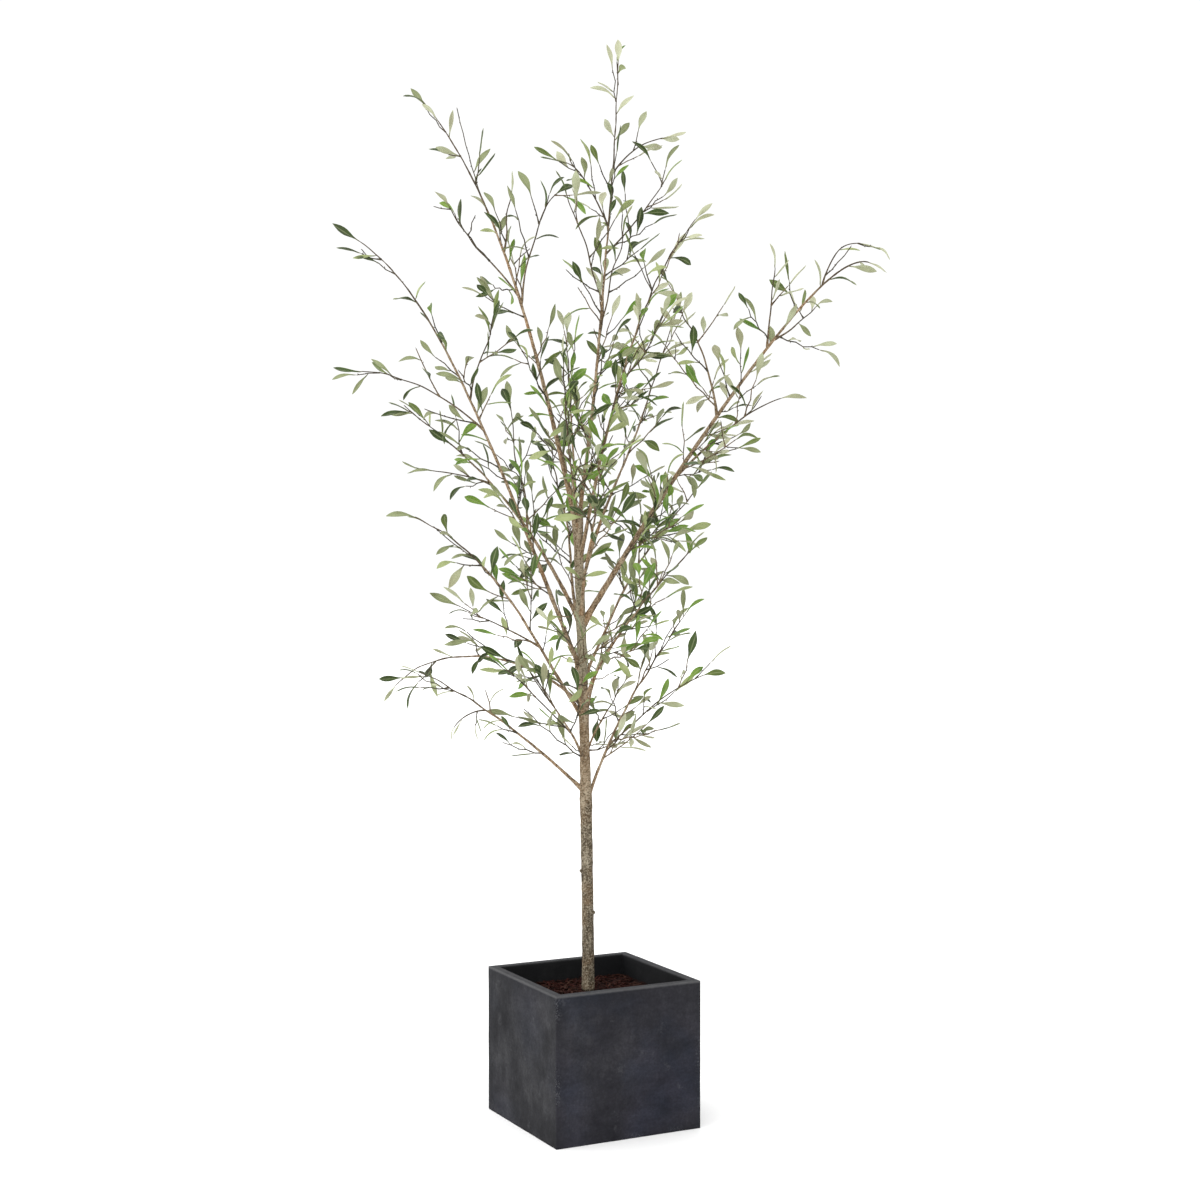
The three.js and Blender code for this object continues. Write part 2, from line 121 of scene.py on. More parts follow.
def apply_modifiers(piece):
    bpy.context.view_layer.objects.active = piece
    for modifier in list(piece.modifiers):
        bpy.ops.object.modifier_apply(modifier=modifier.name)


def roughen(piece, grain, depth, space=None, hard=False):
    """Adds a relief: the surface moves in and out by a cloudy pattern of that grain."""
    clouds = bpy.data.textures.new(piece.name + "_relief", "CLOUDS")
    clouds.noise_scale = grain * MM
    clouds.noise_depth = 3
    clouds.noise_type = "HARD_NOISE" if hard else "SOFT_NOISE"
    relief = piece.modifiers.new("relief", "DISPLACE")
    relief.texture = clouds
    relief.strength = depth * MM
    relief.mid_level = 0.5
    relief.texture_coords = "LOCAL"
    if space:
        relief.texture_coords = "OBJECT"
        relief.texture_coords_object = space


def hand_over(piece, slot, *nodes, smooth=40):
    """Smooths a piece's shading, and makes it part of the object in place of some solids."""
    take(piece)
    bpy.ops.object.shade_smooth_by_angle(angle=math.radians(smooth))
    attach(piece, "root")
    if nodes:
        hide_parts(*nodes)
    print(piece.name, len(piece.data.polygons), "faces")


# %% [markdown]
# Finishes are made from a few kinds of node: a cloudy pattern, a ramp of colours, a mix and a bump. All
# patterns read Object coordinates, so that they stay on the surface from every side. Colours are written
# as they look on a screen, from 0 to 255, and are turned into light values here. The studio is lit until
# its floor is white, so every colour is taken down by the same share.

# %% Helpers for finishes
UNDER_LIGHT = 0.83


def paint(*colour):
    """A colour as red, green and blue, or a grey as one number."""
    shares = [value / 255 for value in (colour * 3)[:3]]
    light = [s / 12.92 if s <= 0.04045 else ((s + 0.055) / 1.055) ** 2.4 for s in shares]
    return (*(value * UNDER_LIGHT for value in light), 1.0)


def grey(value):
    return (value, value, value, 1)


class Finish:
    """A material with a shader, and short ways to add what drives it."""

    def __init__(self, name, roughness, specular):
        self.material = bpy.data.materials.new(name)
        self.material.use_nodes = True
        self.nodes = self.material.node_tree.nodes
        self.shader = self.nodes["Principled BSDF"]
        self.shader.inputs["Roughness"].default_value = roughness
        self.shader.inputs["Specular IOR Level"].default_value = specular
        self.place = self.node("ShaderNodeTexCoord").outputs["Object"]

    def feed(self, socket, value):
        """Gives a socket what another node puts out, or a plain number or colour."""
        if isinstance(value, bpy.types.NodeSocket):
            self.material.node_tree.links.new(value, socket)
        else:
            socket.default_value = value

    def node(self, kind, **inputs):
        """A new node with some of its sockets fed, each by its name."""
        node = self.nodes.new(kind)
        for name, value in inputs.items():
            self.feed(node.inputs[name], value)
        return node

    def axes(self, place):
        return self.node("ShaderNodeSeparateXYZ", Vector=place).outputs

    def stretched(self, *scale):
        return self.node("ShaderNodeMapping", Scale=scale, Vector=self.place).outputs["Vector"]

    def clouds(self, scale, detail=4, roughness=0.55, place=None):
        pattern = dict(Scale=scale, Detail=detail, Roughness=roughness, Vector=place or self.place)
        return self.node("ShaderNodeTexNoise", **pattern).outputs["Fac"]

    def ramp(self, source, *stops):
        node = self.node("ShaderNodeValToRGB", Fac=source)
        row = node.color_ramp.elements
        while len(row) < len(stops):
            row.new(0.5)
        for element, (share, colour) in zip(row, stops):
            element.position = share
            element.color = colour
        return node.outputs["Color"]

    def fade(self, source, *stops):
        """A ramp of greys: each stop is a value of the source and a share from 0 to 1."""
        return self.ramp(source, *((value, grey(share)) for value, share in stops))

    def mask(self, source, low, high):
        return self.fade(source, (low, 0), (high, 1))

    def blend(self, share, first, second, mode="MIX"):
        """Mixes two colours; each is a socket or a plain colour, and the share is a socket or a number."""
        node = self.node("ShaderNodeMix")
        node.data_type = "RGBA"
        node.blend_type = mode
        for number, value in ((0, share), (6, first), (7, second)):
            self.feed(node.inputs[number], value)
        return node.outputs[2]

    def reckon(self, operation, *values):
        node = self.node("ShaderNodeMath")
        node.operation = operation
        for socket, value in zip(node.inputs, values):
            self.feed(socket, value)
        return node.outputs[0]

    def cover(self, base, where, share, colour):
        """Lays a colour over a base where a mask is white, as thickly as the share says."""
        return self.blend(self.reckon("MULTIPLY", where, share), base, colour)

    def colour(self, source):
        self.feed(self.shader.inputs["Base Color"], source)

    def bump(self, source, strength, depth):
        node = self.node("ShaderNodeBump", Strength=strength, Distance=depth * MM, Height=source)
        self.feed(self.shader.inputs["Normal"], node.outputs["Normal"])


# %% [markdown]
# ## The planter
# A square planter cast from dark fibre cement, with straight walls, a flat base and edges that are only
# just rounded. It could be built from five plates, but it is cast in one, so it is modelled in one: a cube,
# whose top is inset to the wall's thickness and pushed down to the floor. A small bevel rounds the edges,
# and a faint relief takes away the exactness of a drawn box.

# %% Planter shape
PLANTER = dict(side=356, height=330, wall=20, floor=22, edge=1.6, edge_steps=3, sharp=40, cuts=20)
PLANTER_RELIEF = dict(grain=70, depth=1.2)


def model_planter():
    start_fresh()
    middle = (0, 0, PLANTER["height"] / 2 * MM)
    bpy.ops.mesh.primitive_cube_add(size=PLANTER["side"] * MM, location=middle)
    bpy.context.object.scale.z = PLANTER["height"] / PLANTER["side"]
    planter = settled("stone_planter")
    pick(planter, "FACE", lambda face: face.normal.z > FACING)
    bpy.ops.mesh.inset(thickness=PLANTER["wall"] * MM)
    down = (PLANTER["floor"] - PLANTER["height"]) * MM
    bpy.ops.mesh.extrude_region_move(TRANSFORM_OT_translate={"value": (0, 0, down)})
    bpy.ops.mesh.select_all(action="SELECT")
    bpy.ops.mesh.subdivide(number_cuts=PLANTER["cuts"])
    bpy.ops.mesh.select_all(action="DESELECT")
    bpy.ops.mesh.select_mode(type="EDGE")
    bpy.ops.mesh.edges_select_sharp(sharpness=math.radians(PLANTER["sharp"]))
    bpy.ops.mesh.bevel(offset=PLANTER["edge"] * MM, segments=PLANTER["edge_steps"], affect="EDGES")
    bpy.ops.object.mode_set(mode="OBJECT")
    roughen(planter, **PLANTER_RELIEF)
    apply_modifiers(planter)
    return planter


planter = model_planter()
print("planter height", round(max(v.co.z for v in planter.data.vertices), 4))

# %% [markdown]
# The cement is matt charcoal with soft clouds in it and patches of a bluer and a more purple grey, streaked
# as a brush leaves it, upright here and level there. Its front face is painted darker and bluer, partly as a
# stain and partly as painted shade of the side that gets less of the light. One pattern alone would look
# like marble, so several of different grain are laid over each other, each with a small share.

# %% Cement
TINTS = ((4.5, 0.42, paint(48, 44, 60)), (5.5, 0.48, paint(34, 41, 53)))


def cement_body(cement, front, broad, fine):
    """Clouds, a darker front of painted shade and a stain, tinted patches plainest there, brush strokes,
    scuffs and a fine grain.
    """
    body = (0.34, paint(30, 30, 33)), (0.5, paint(45, 45, 48)), (0.66, paint(61, 61, 63))
    base = cement.ramp(broad, *body)
    # Painted shade and a stain: the front face, which gets less of the light, is darkened and blued.
    base = cement.cover(base, front, 0.36, paint(43, 42, 51))
    tinted = cement.fade(front, (0, 0.4), (1, 1))
    for scale, share, colour in TINTS:
        patches = cement.mask(cement.clouds(scale), 0.46, 0.64)
        base = cement.cover(base, cement.reckon("MULTIPLY", patches, tinted), share, colour)
    upright = cement.clouds(34, detail=7, roughness=0.7, place=cement.stretched(1, 1, 0.3))
    level = cement.clouds(30, detail=7, roughness=0.7, place=cement.stretched(0.32, 0.32, 1))
    lying = cement.mask(cement.clouds(5, detail=1), 0.44, 0.56)
    lying = cement.reckon("MAXIMUM", lying, cement.reckon("MULTIPLY", front, 0.7))
    strokes = cement.ramp(cement.blend(lying, upright, level), (0.3, paint(140)), (0.7, paint(246)))
    base = cement.blend(0.55, base, strokes, mode="OVERLAY")
    scuffs = cement.mask(cement.clouds(24, detail=5, roughness=0.7), 0.6, 0.74)
    base = cement.cover(base, scuffs, 0.28, paint(92, 92, 95))
    grains = cement.ramp(fine, (0.4, paint(160)), (0.6, paint(216)))
    return cement.blend(0.4, base, grains, mode="OVERLAY")


# %% [markdown]
# The planter is painted darker inside, as painted shade of its walls, and it is darker towards the edges. A
# pale line is painted on the top of its rim and along its lip, partly as a painted highlight where the edge
# catches the light and partly as rubbed wear, and its upright and lower edges are chipped. Such places could
# be painted by hand, but they are found here from the distance to the corners, which is known from the
# planter's sizes, so the wear stays where hands would leave it, and the painted shade and highlight stay
# where walls and edge show them. These distances are in metres, as the coordinates are.

# %% Wear and painted light of the planter
# The front and the inside carry painted shade, the rim and the lip a painted highlight with rubbed wear.
WEAR_AND_PAINTED_LIGHT = dict(front=(0.172, 0.177), border=(0.015, 0.05), border_wave=0.03, chips=0.016,
            inside=(0.0172, 0.0188), rim=(0.0006, 0.002), lip=0.0014, ragged=0.0036)


def cement_wear_and_painted_light(cement, base, broad, x, y, z):
    """Darker borders, chipped edges, painted shade inside, and a painted highlight on rim and lip, partly
    rubbed wear.
    """
    half = PLANTER["side"] / 2 * MM
    aside = [cement.reckon("SUBTRACT", half, cement.reckon("ABSOLUTE", axis)) for axis in (x, y)]
    in_wall = cement.reckon("MINIMUM", *aside)
    from_corner = cement.reckon("ADD", *aside)
    below_lip = cement.reckon("SUBTRACT", PLANTER["height"] * MM, z)
    border = cement.reckon("MINIMUM", from_corner, below_lip)
    border = cement.reckon("ADD", border, cement.reckon("MULTIPLY", broad, WEAR_AND_PAINTED_LIGHT["border_wave"]))
    near, far = WEAR_AND_PAINTED_LIGHT["border"]
    base = cement.blend(cement.fade(border, (near, 0.36), (far, 0)), base, paint(28, 28, 31))
    chips = cement.clouds(230, detail=3, roughness=0.7)
    from_edge = cement.reckon("MINIMUM", from_corner, cement.reckon("ADD", in_wall, z))
    close = cement.fade(from_edge, (0, 1), (WEAR_AND_PAINTED_LIGHT["chips"], 0))
    close = cement.reckon("MULTIPLY", close, cement.mask(cement.clouds(11, detail=2), 0.46, 0.6))
    pale_chips = cement.reckon("MULTIPLY", cement.mask(chips, 0.54, 0.6), close)
    base = cement.cover(base, pale_chips, 0.45, paint(108, 108, 110))
    dark_chips = cement.reckon("MULTIPLY", cement.fade(chips, (0.4, 1), (0.46, 0)), close)
    base = cement.cover(base, dark_chips, 0.5, paint(22, 22, 24))
    # Painted shade: the inside of the walls is darkened where the planter shades itself.
    base = cement.cover(base, cement.mask(in_wall, *WEAR_AND_PAINTED_LIGHT["inside"]), 0.74, paint(18, 19, 19))
    uneven = cement.clouds(90, detail=5, roughness=0.7)
    # Painted highlight, partly rubbed wear: the top of the rim is paler in an uneven band.
    near, far = WEAR_AND_PAINTED_LIGHT["rim"]
    base = cement.cover(base, cement.fade(below_lip, (near, 0.84), (far, 0)), uneven, paint(88, 88, 90))
    # Painted highlight, partly rubbed wear: a ragged pale line along the lip, the outer top edge.
    ragged = cement.reckon("MULTIPLY", uneven, WEAR_AND_PAINTED_LIGHT["ragged"])
    lip = cement.reckon("SUBTRACT", cement.reckon("ADD", in_wall, below_lip), ragged)
    return cement.blend(cement.fade(lip, (0, 0.46), (WEAR_AND_PAINTED_LIGHT["lip"], 0)), base, paint(100, 100, 101))


def cement_finish():
    cement = Finish("charcoal_cement", roughness=0.85, specular=0.12)
    broad = cement.clouds(9, detail=7, roughness=0.66)
    fine = cement.clouds(170, detail=6, roughness=0.7)
    x, y, z = cement.axes(cement.place)
    # The front face, where the body lays its painted shade and stain.
    front = cement.mask(cement.reckon("MULTIPLY", y, -1), *WEAR_AND_PAINTED_LIGHT["front"])
    cement.colour(cement_wear_and_painted_light(cement, cement_body(cement, front, broad, fine), broad, x, y, z))
    cement.bump(cement.reckon("ADD", fine, broad), 0.4, 0.7)
    return cement.material


planter.data.materials.append(cement_finish())
hand_over(planter, "planter", "planter")

# %% [markdown]
# ## The mulch
# The planter is filled to a little below its rim with shredded bark and coir. A bed carries the colour
# between the shreds. A flat plate would look like a lid, so the bed is a fine grid with a lumpy relief,
# drawn down at its border into a closed block.

# %% Mulch bed
FILL = dict(top=288, deep=40, clear=0.6, relief=9, grain=26, squares=70)


def model_mulch_bed():
    start_fresh()
    side = (PLANTER["side"] - 2 * PLANTER["wall"] - 2 * FILL["clear"]) * MM
    top = (FILL["top"] - FILL["relief"] / 2) * MM
    squares = dict(x_subdivisions=FILL["squares"], y_subdivisions=FILL["squares"])
    bpy.ops.mesh.primitive_grid_add(**squares, size=side, location=(0, 0, top))
    bed = settled("mulch_bed")
    roughen(bed, FILL["grain"], FILL["relief"])
    apply_modifiers(bed)
    bpy.ops.object.mode_set(mode="EDIT")
    bpy.ops.mesh.select_all(action="SELECT")
    bpy.ops.mesh.extrude_region_move(TRANSFORM_OT_translate={"value": (0, 0, -FILL["deep"] * MM)})
    bpy.ops.transform.resize(value=(1, 1, 0), center_override=(0, 0, top - FILL["deep"] * MM))
    face_outward()
    return bed


def mulch_finish(name, dark, light):
    mulch = Finish(name, roughness=0.95, specular=0.08)
    grain = mulch.clouds(160, detail=5)
    mulch.colour(mulch.ramp(grain, (0.35, paint(*dark)), (0.68, paint(*light))))
    mulch.bump(grain, 0.6, 1.5)
    return mulch.material


bed = model_mulch_bed()
bed.data.materials.append(mulch_finish("mulch_dark", (14, 6, 5), (36, 15, 11)))
hand_over(bed, "fill", "fill", smooth=60)

# %% [markdown]
# Shreds, twigs and leaves are far too many to place by hand, so their corners are worked out as arrays. A
# shred or a leaf is a pattern, turned and scaled by seeded draws, and a twig is a tube along its line. They
# are joined into a few meshes. These helpers turn points, repeat the faces and make the piece.


# %% Helpers for many copies
def joined(name, corners, faces, finishes, kinds, places=None):
    """One piece from lists of corners and faces, with the number of a finish for each face."""
    mesh = bpy.data.meshes.new(name)
    mesh.from_pydata(corners.tolist(), [], faces)
    for finish in finishes:
        mesh.materials.append(finish)
    mesh.polygons.foreach_set("material_index", np.asarray(kinds, np.int32))
    if places is not None:
        layer = mesh.uv_layers.new(name="leaf_place")
        layer.data.foreach_set("uv", places[np.ravel(faces)].ravel())
    mesh.update()
    piece = bpy.data.objects.new(name, mesh)
    bpy.context.scene.collection.objects.link(piece)
    return piece


def repeated(faces, corner_count, copies):
    """The faces of a pattern, once for each of its copies."""
    steps = np.arange(copies)[:, None, None] * corner_count
    return (faces[None] + steps).reshape(-1, faces.shape[1]).tolist()


def spun(first, second, turn):
    """Turns pairs of coordinates by an angle."""
    cos, sin = np.cos(turn), np.sin(turn)
    return first * cos - second * sin, first * sin + second * cos


# %% [markdown]
# The shreds are small bent strips of bark and coir that lie over each other in all directions. Each has a
# size, a bend, a tilt and a turn of its own, and one of three browns. They are dealt out over the bed, and
# only as far as their length lets them lie clear of the planter's walls.

# %% Mulch shreds
SHRED = dict(count=1100, length=(10, 42), width=(1.6, 5.0), depth=(1.0, 2.2), bend=(-0.25, 0.25), arch=0.12,
             tilt=(-22, 22), lift=(-2, 4), sunk=0.55, edge=6, seed=41)
SHRED_COLOURS = dict(
    shred_umber=((24, 11, 9), (44, 22, 17)),
    shred_russet=((36, 14, 11), (60, 28, 21)),
    shred_straw=((44, 25, 19), (70, 45, 36)),
)


def shred_pattern():
    """A bent strip: three square sections in a row, closed at both ends."""
    square = ((-0.5, -0.5), (0.5, -0.5), (0.5, 0.5), (-0.5, 0.5))
    corners = [(along, across, up) for along in (-0.5, 0, 0.5) for across, up in square]
    faces = [(0, 3, 2, 1), (8, 9, 10, 11)]
    for first in (0, 4):
        for k in range(4):
            after = (k + 1) % 4
            faces.append((first + k, first + after, first + 4 + after, first + 4 + k))
    return np.array(corners), np.array(faces)


def deal_shreds():
    draw = np.random.default_rng(SHRED["seed"])
    count = SHRED["count"]

    def drawn(low, high):
        return draw.uniform(low, high, count)[:, None]

    corners, faces = shred_pattern()
    size = np.concatenate([drawn(*SHRED[key]) for key in ("length", "width", "depth")], 1)
    length = size[:, :1]
    points = corners[None] * size[:, None, :]
    middle = corners[:, 0] == 0
    points[:, middle, 1] += drawn(*SHRED["bend"]) * length
    points[:, middle, 2] += SHRED["arch"] * length
    turn = drawn(0, 2 * math.pi)
    tilt = np.radians(drawn(*SHRED["tilt"]))
    level, up = spun(points[:, :, 0], points[:, :, 2], tilt)
    east, north = spun(level, points[:, :, 1], turn)
    reach = PLANTER["side"] / 2 - PLANTER["wall"] - SHRED["edge"] - length / 2
    east += drawn(-1, 1) * reach
    north += drawn(-1, 1) * reach
    up += FILL["top"] - FILL["relief"] * SHRED["sunk"] + drawn(*SHRED["lift"])
    places = np.stack([east, north, up], 2).reshape(-1, 3) * MM
    kinds = np.repeat(draw.integers(0, len(SHRED_COLOURS), count), len(faces))
    finishes = [mulch_finish(name, *colours) for name, colours in SHRED_COLOURS.items()]
    return joined("mulch_shreds", places, repeated(faces, len(corners), count), finishes, kinds)


shreds = deal_shreds()
hand_over(shreds, "fill", smooth=30)

# %% [markdown]
# ## The rule of the tree
# The solids grow by one rule, and the same rule is written again here, with the same seeded draws, so
# that every twig and leaf stands where its solid stands. Draws come from a small seeded row of numbers, so
# that each limb and twig always draws the same. Ways are unit vectors, and a way is turned about another by
# the usual rule for turning about an axis. The tree is worked out in millimetres, as the photograph shows
# it, and is turned to stand in its planter at the end.

# %% Draws, ways and curves
TREE_TURN = math.radians(-27.2)
UP = np.array((0.0, 0.0, 1.0))
EAST = np.array((1.0, 0.0, 0.0))
STEEP = 0.95
DRAW = dict(modulus=2147483647, step=16807, seed_step=48271, seed_shift=11)


def seeded(seed):
    """Draws from 0 to 1, the same ones each time for the same seed."""
    modulus = DRAW["modulus"]
    state = (seed * DRAW["seed_step"] + DRAW["seed_shift"]) % modulus

    def draw():
        nonlocal state
        state = state * DRAW["step"] % modulus
        return state / modulus

    return draw


def between(pair, share):
    return pair[0] + (pair[1] - pair[0]) * share


def read_off(table, at):
    """The value that a table of places and values gives at a place."""
    return float(np.interp(at, *zip(*table)))


def unit(way):
    return way / np.linalg.norm(way)


def turned(way, axis, degrees):
    turn = math.radians(degrees)
    along = axis * np.dot(axis, way) * (1 - math.cos(turn))
    return way * math.cos(turn) + np.cross(axis, way) * math.sin(turn) + along


def way_of(heading, rise):
    turn, climb = math.radians(heading), math.radians(rise)
    return np.array((math.cos(turn) * math.cos(climb), math.sin(turn) * math.cos(climb), math.sin(climb)))


def level_side(ahead):
    return unit(np.cross(ahead, EAST if abs(ahead[2]) > STEEP else UP))


def splayed(ahead, splay, turn):
    """A way turned aside by an angle, towards the side that a turn about the way gives."""
    return turned(ahead, turned(level_side(ahead), ahead, turn), splay)


def bezier(*controls):
    def point(share):
        row = controls
        while len(row) > 1:
            row = [a + (b - a) * share for a, b in zip(row, row[1:])]
        return row[0]

    return point


def tangent(curve, share, step=1e-4):
    return unit(curve(min(share + step, 1)) - curve(max(share - step, 0)))


def placed(points):
    """Points of the tree, in millimetres, as they stand in the part, in metres."""
    x, y, z = np.moveaxis(np.asarray(points, float), -1, 0)
    return np.stack([*spun(x, y, TREE_TURN), z], -1) * MM


# %% [markdown]
# The trunk leans a little more the higher it is. Its thickness is a short table: shares of its height, and
# the radius there.

# %% Line of the trunk
GAP = 0.3
TRUNK = dict(foot_x=-10, foot=FILL["top"] + GAP, top=1371, lean=-25, lean_power=1.7)
TRUNK_GIRTH = [(0, 15.6), (0.025, 13.8), (0.1, 13.2), (0.4, 13), (0.5, 10.5), (0.93, 9.8), (1, 12.6)]


def trunk_share(height):
    return (height - TRUNK["foot"]) / (TRUNK["top"] - TRUNK["foot"])


def trunk_point(height):
    lean = TRUNK["lean"] * max(0, trunk_share(height)) ** TRUNK["lean_power"]
    return np.array((TRUNK["foot_x"] + lean, 0.0, height))


def trunk_radius(height):
    return read_off(TRUNK_GIRTH, trunk_share(height))


def trunk_beside(point):
    """The middle of the trunk at a point's height, or its top where the point is higher."""
    return trunk_point(min(point[2], TRUNK["top"]))


print("trunk from", TRUNK["foot"], "to", TRUNK["top"])

# %% [markdown]
# Limbs are curves that leave the trunk or another limb at one climb and reach their tip at another. Each
# row says where its limb begins, as a height on the trunk or a share along the limb that carries it, and
# where its tip is. The leaves of the lowest limbs on the left are narrower than the others. Some limbs have
# lost more of their leaves than the rest, and those with a loss below 0 have lost fewer.

# %% Table of limbs
LIMB = dict(hold=(0.35, 0.33), tip_radius=1.3, taper=0.8, side_share=0.62, wave=7, waves=3, seed_step=100)
LIMBS = {
    "leader": dict(at=1345, shift=2, tip=(60, 20, 2405), rise=(82, 87), radius=4.8, bare=150),
    "leader_right_low": dict(on="leader", at=0.56, tip=(170, -60, 2130), rise=(42, 72)),
    "leader_right_high": dict(on="leader", at=0.73, tip=(190, 60, 2215), rise=(58, 0)),
    "leader_left_high": dict(on="leader", at=0.62, tip=(-90, 70, 2155), rise=(62, -25)),
    "leader_left_low": dict(on="leader", at=0.46, tip=(-60, -90, 2095), rise=(66, 72), lost=0.2),
    "leader_front": dict(on="leader", at=0.4, tip=(70, -130, 2010), rise=(62, 80), lost=0.25),
    "leader_back": dict(on="leader", at=0.31, tip=(30, 150, 1945), rise=(55, 70), lost=0.2),
    "high_left": dict(at=1345, shift=-2, tip=(-405, 180, 2335), rise=(75, 48), lost=-0.15, radius=6.4,
                      bare=140),
    "high_left_out": dict(on="high_left", at=0.48, tip=(-350, 210, 2110), rise=(48, 62), lost=0.3),
    "high_left_in": dict(on="high_left", at=0.46, tip=(-55, -10, 2090), rise=(80, 15)),
    "high_left_up": dict(on="high_left", at=0.58, tip=(-180, 40, 2120), rise=(75, 70), lost=-0.2),
    "upright": dict(at=1310, tip=(-65, -150, 1730), rise=(68, 84), radius=2.6),
    "high_right": dict(at=1252, tip=(240, -230, 2010), rise=(74, 38), radius=4.6, bare=130),
    "high_right_low": dict(on="high_right", at=0.41, tip=(155, -330, 1805), rise=(50, 62)),
    "great_right": dict(at=1112, tip=(660, 150, 1922), rise=(58, -62), hold=(0.4, 0.16), lost=-0.3,
                        radius=7.2, bare=180),
    "great_right_fork": dict(on="great_right", at=0.71, tip=(630, 60, 1962), rise=(76, -44), lost=0.3,
                             hold=(0.5, 0.5)),
    "great_right_up": dict(on="great_right", at=0.53, tip=(410, 20, 1950), rise=(72, 74), lost=-0.2),
    "great_right_out": dict(on="great_right", at=0.55, tip=(535, 230, 1875), rise=(22, 48), lost=-0.3),
    "great_right_low": dict(on="great_right", at=0.28, tip=(455, 0, 1630), rise=(42, 8), lost=0.5),
    "great_right_in": dict(on="great_right", at=0.39, tip=(185, 260, 1920), rise=(84, 66)),
    "inner_left": dict(at=1112, tip=(-460, 260, 1625), rise=(63, 28), radius=5, bare=130),
    "inner_left_low": dict(on="inner_left", at=0.54, tip=(-415, 140, 1475), rise=(28, 14)),
    "inner_left_up": dict(on="inner_left", at=0.35, tip=(-200, 330, 1660), rise=(70, 84)),
    "great_left": dict(at=1004, tip=(-540, -120, 1975), rise=(67, 25), hold=(0.4, 0.22), radius=5.4,
                       bare=170),
    "great_left_out": dict(on="great_left", at=0.45, tip=(-545, -40, 1680), rise=(44, -4)),
    "great_left_up": dict(on="great_left", at=0.51, tip=(-205, -190, 1805), rise=(76, 72), lost=-0.2),
    "low_left": dict(at=904, tip=(-410, -200, 1365), rise=(55, 14), radius=4.6, bare=100, lost=-0.2),
    "low_left_under": dict(on="low_left", at=0.29, tip=(-330, -60, 1175), rise=(32, 26), lost=0.3),
    "arch_left": dict(at=930, tip=(-475, 150, 940), rise=(46, -62), hold=(0.45, 0.3), lost=-0.3,
                      radius=3.4, bare=90),
    "lowest_left": dict(at=739, tip=(-415, -60, 1030), rise=(44, 24), radius=4.2, bare=110, thin=0.7,
                        lost=-0.2),
    "lowest_left_under": dict(on="lowest_left", at=0.58, tip=(-330, 30, 860), rise=(0, -55), thin=0.5),
    "lowest_right": dict(at=708, tip=(230, 80, 1170), rise=(74, 56), radius=4, bare=90),
    "lowest_right_out": dict(on="lowest_right", at=0.27, tip=(270, -120, 1020), rise=(38, 14)),
    "small_left": dict(at=800, tip=(-145, -200, 1045), rise=(60, 46), radius=3.4),
    "small_left_out": dict(on="small_left", at=0.27, tip=(-210, -90, 1045), rise=(46, 44)),
    "mid_right": dict(at=940, tip=(235, -220, 1305), rise=(64, 36), radius=3.8, bare=90),
    "mid_right_back": dict(at=985, tip=(265, 210, 1450), rise=(66, 40), radius=3.8, bare=100),
    "inner_right": dict(at=1195, tip=(205, 330, 1875), rise=(64, 66), radius=4.2, bare=120),
    "small_right": dict(at=815, tip=(85, 240, 995), rise=(50, 38), radius=2.8),
    "front": dict(at=1130, tip=(25, -400, 1480), rise=(58, 42), radius=4.2, bare=90),
    "front_low": dict(at=905, tip=(-75, -330, 1190), rise=(52, 30), radius=3.4, bare=70),
    "back": dict(at=1055, tip=(-110, 420, 1575), rise=(58, 44), radius=4.4, bare=100),
    "back_low": dict(at=870, tip=(45, 360, 1135), rise=(50, 32), radius=3.4, bare=70),
    "back_high": dict(at=1250, tip=(-65, 330, 1830), rise=(66, 64), radius=4.2, bare=100),
}
print("limbs in the table:", len(LIMBS))

# %% [markdown]
# Limbs and twigs have a small knee wherever a leaf stands or stood. The knees are finer than the solids:
# they move the wood by a few millimetres only, and what stands on it moves with it. So each stem has two
# lines, the smooth one that the rule sees, and the one with its knees that is shown.

# %% Limbs
STEPS = np.linspace(0, 1, 201)
END_LEAF = dict(takes=34, sunk=5)
KNEE = dict(looks_at=0.6, least=0.3, grows_over=0.4)
LIMB_KNEE = dict(every=42, out=3.4, first=0.3)
LIMB_KNEE_SEED = 77


class Stem:
    moved = 0.0

    def add_knees(self, every, out, first, seed):
        draw = seeded(seed)
        self.knees = np.linspace(0, 1, max(2, round(self.length / every)) + 1)
        ahead = tangent(self.curve, KNEE["looks_at"])
        side = turned(level_side(ahead), ahead, 360 * draw())
        grown = np.clip((self.knees - first) / KNEE["grows_over"], 0, 1) if first else self.knees > 0
        outs = [out * between((KNEE["least"], 1), draw()) * share for share in grown]
        outs[1::2] = [-value for value in outs[1::2]]
        self.outs = np.outer(outs, side)

    def knee(self, share):
        return np.array([np.interp(share, self.knees, out) for out in self.outs.T])

    def at(self, share):
        return self.curve(share) + self.knee(share) + self.moved


